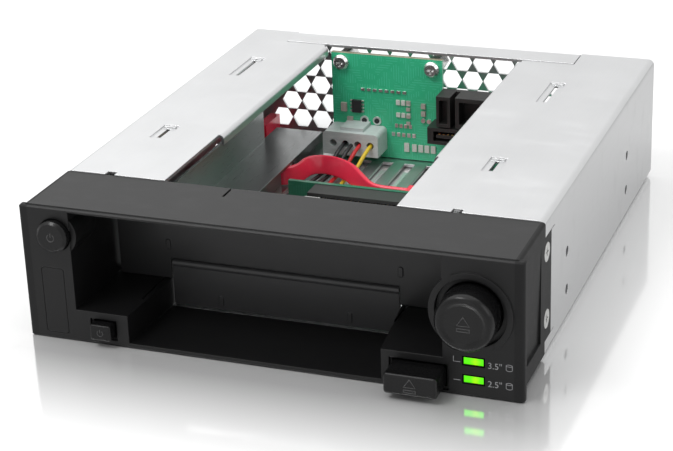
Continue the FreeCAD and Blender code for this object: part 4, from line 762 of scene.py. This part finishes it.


# ---- indicator lights ------------------------------------------------------------
# Each light is a clear green window that stands in a slot of the bezel, whose shadow is a painted black
# line round it.
# An emitter on a small board behind it makes it brighter and yellower near its middle.

lens = Finish("lit_lens", Base_Color=(0.02, 0.1, 0.0, 1.0), Roughness=0.3, Emission_Strength=1.0,
              Specular_IOR_Level=0.2)
lens_low, lens_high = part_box("light_lens_upper")
emitter_right = (lens_low.x + lens_high.x) / 2 + 0.0004
glow_reach = 0.0028
away = abs(lens.x - emitter_right) / glow_reach
speck = lens.noise(size=0.0009, detail=1.0)
lens.set(Emission_Color=lens.mix((away * 0.8 + speck * 0.5).fade(0.2, 0.7),
                                 (0.42, 1.0, 0.0), (0.11, 0.95, 0.0)))
dress(lens.material, "light_lens_lower", "light_lens_upper", "light_emitters")


# ---- floor, lamps and camera -----------------------------------------------------
# A pale polished table with a soft mirror in it, under one large lamp, a narrow bright one
# ahead on the left and weak ones ahead and on the right.

low, high = [Vector(corner) for corner in cad_box]
middle = (low + high) / 2
table_wide = 8.0
bpy.ops.mesh.primitive_plane_add(size=table_wide, location=(0.0, 0.0, low.z))
table = bpy.context.active_object
table.name = "table"
surface = Finish("pale_table")
cloudy = surface.noise(size=0.3)
beside = (abs(surface.x) - high.x).most(0.0)
beyond = (abs(surface.y - middle.y) - (high.y - middle.y)).most(0.0)
offset = surface.node("ShaderNodeCombineXYZ", X=beside, Y=beyond)
away = surface.node("ShaderNodeVectorMath", {"operation": "LENGTH"}, Vector=offset)
mirror_reach = 0.045
polish = 1.0 - away.fade(0.0, mirror_reach)
surface.set(Base_Color=surface.mix(cloudy, (0.86, 0.86, 0.86), (0.88, 0.88, 0.88)),
            Metallic=polish * 0.58, Roughness=0.08 + cloudy * 0.02)
table.data.materials.append(surface.material)

for name, place, size, power in (("lamp_top", (-0.24, 0.1, 0.9), (1.5, 1.5), 9.2),
                                 ("lamp_strip", (-0.34, -0.5, 0.84), (0.36, 0.09), 3.0),
                                 ("lamp_front", (-0.1, -1.2, 0.35), (0.5, 0.5), 0.5),
                                 ("lamp_right", (0.9, -0.2, 0.5), (0.6, 0.6), 1.9)):
    light = bpy.data.lights.new(name, "AREA")
    light.shape = "RECTANGLE"
    light.size, light.size_y = size
    light.energy = power
    lamp = set_down(name, light)
    lamp.location = place
    lamp.rotation_euler = (-Vector(place)).to_track_quat("-Z", "Y").to_euler()

world = bpy.data.worlds.new("studio")
bpy.context.scene.world = world
world.use_nodes = True
world.node_tree.nodes.clear()
sky = Tree(world.node_tree)
rays = sky.node("ShaderNodeLightPath", out=None).outputs
seen = (Amount(rays["Is Camera Ray"]) + Amount(rays["Is Glossy Ray"])
        + Amount(rays["Is Transmission Ray"])).least(1.0)
room = sky.node("ShaderNodeBackground", Color=(1.0, 1.0, 1.0, 1.0), Strength=0.6 + seen * 0.4)
sky.node("ShaderNodeOutputWorld", out=None, Surface=room)

eye = set_down("eye", bpy.data.cameras.new("eye"))
bpy.context.scene.camera = eye
station = Vector((0.1907, -0.5266, 0.2435))
azimuth, dip, roll = -0.3692, 0.3997, -0.0371
forward = Vector((math.sin(azimuth) * math.cos(dip), math.cos(azimuth) * math.cos(dip), -math.sin(dip)))
level = forward.cross(Vector((0.0, 0.0, 1.0))).normalized()
above = level.cross(forward)
right = math.cos(roll) * level + math.sin(roll) * above
up = -math.sin(roll) * level + math.cos(roll) * above
turn = Matrix((right, up, -forward)).transposed().to_4x4()
eye.matrix_world = Matrix.Translation(station) @ turn
eye.data.sensor_width = 36.0
eye.data.lens = 101.56
eye.data.shift_x = 0.0013
eye.data.shift_y = -0.0056
eye.data.clip_start = 0.01
bpy.context.scene.view_settings.view_transform = "Standard"
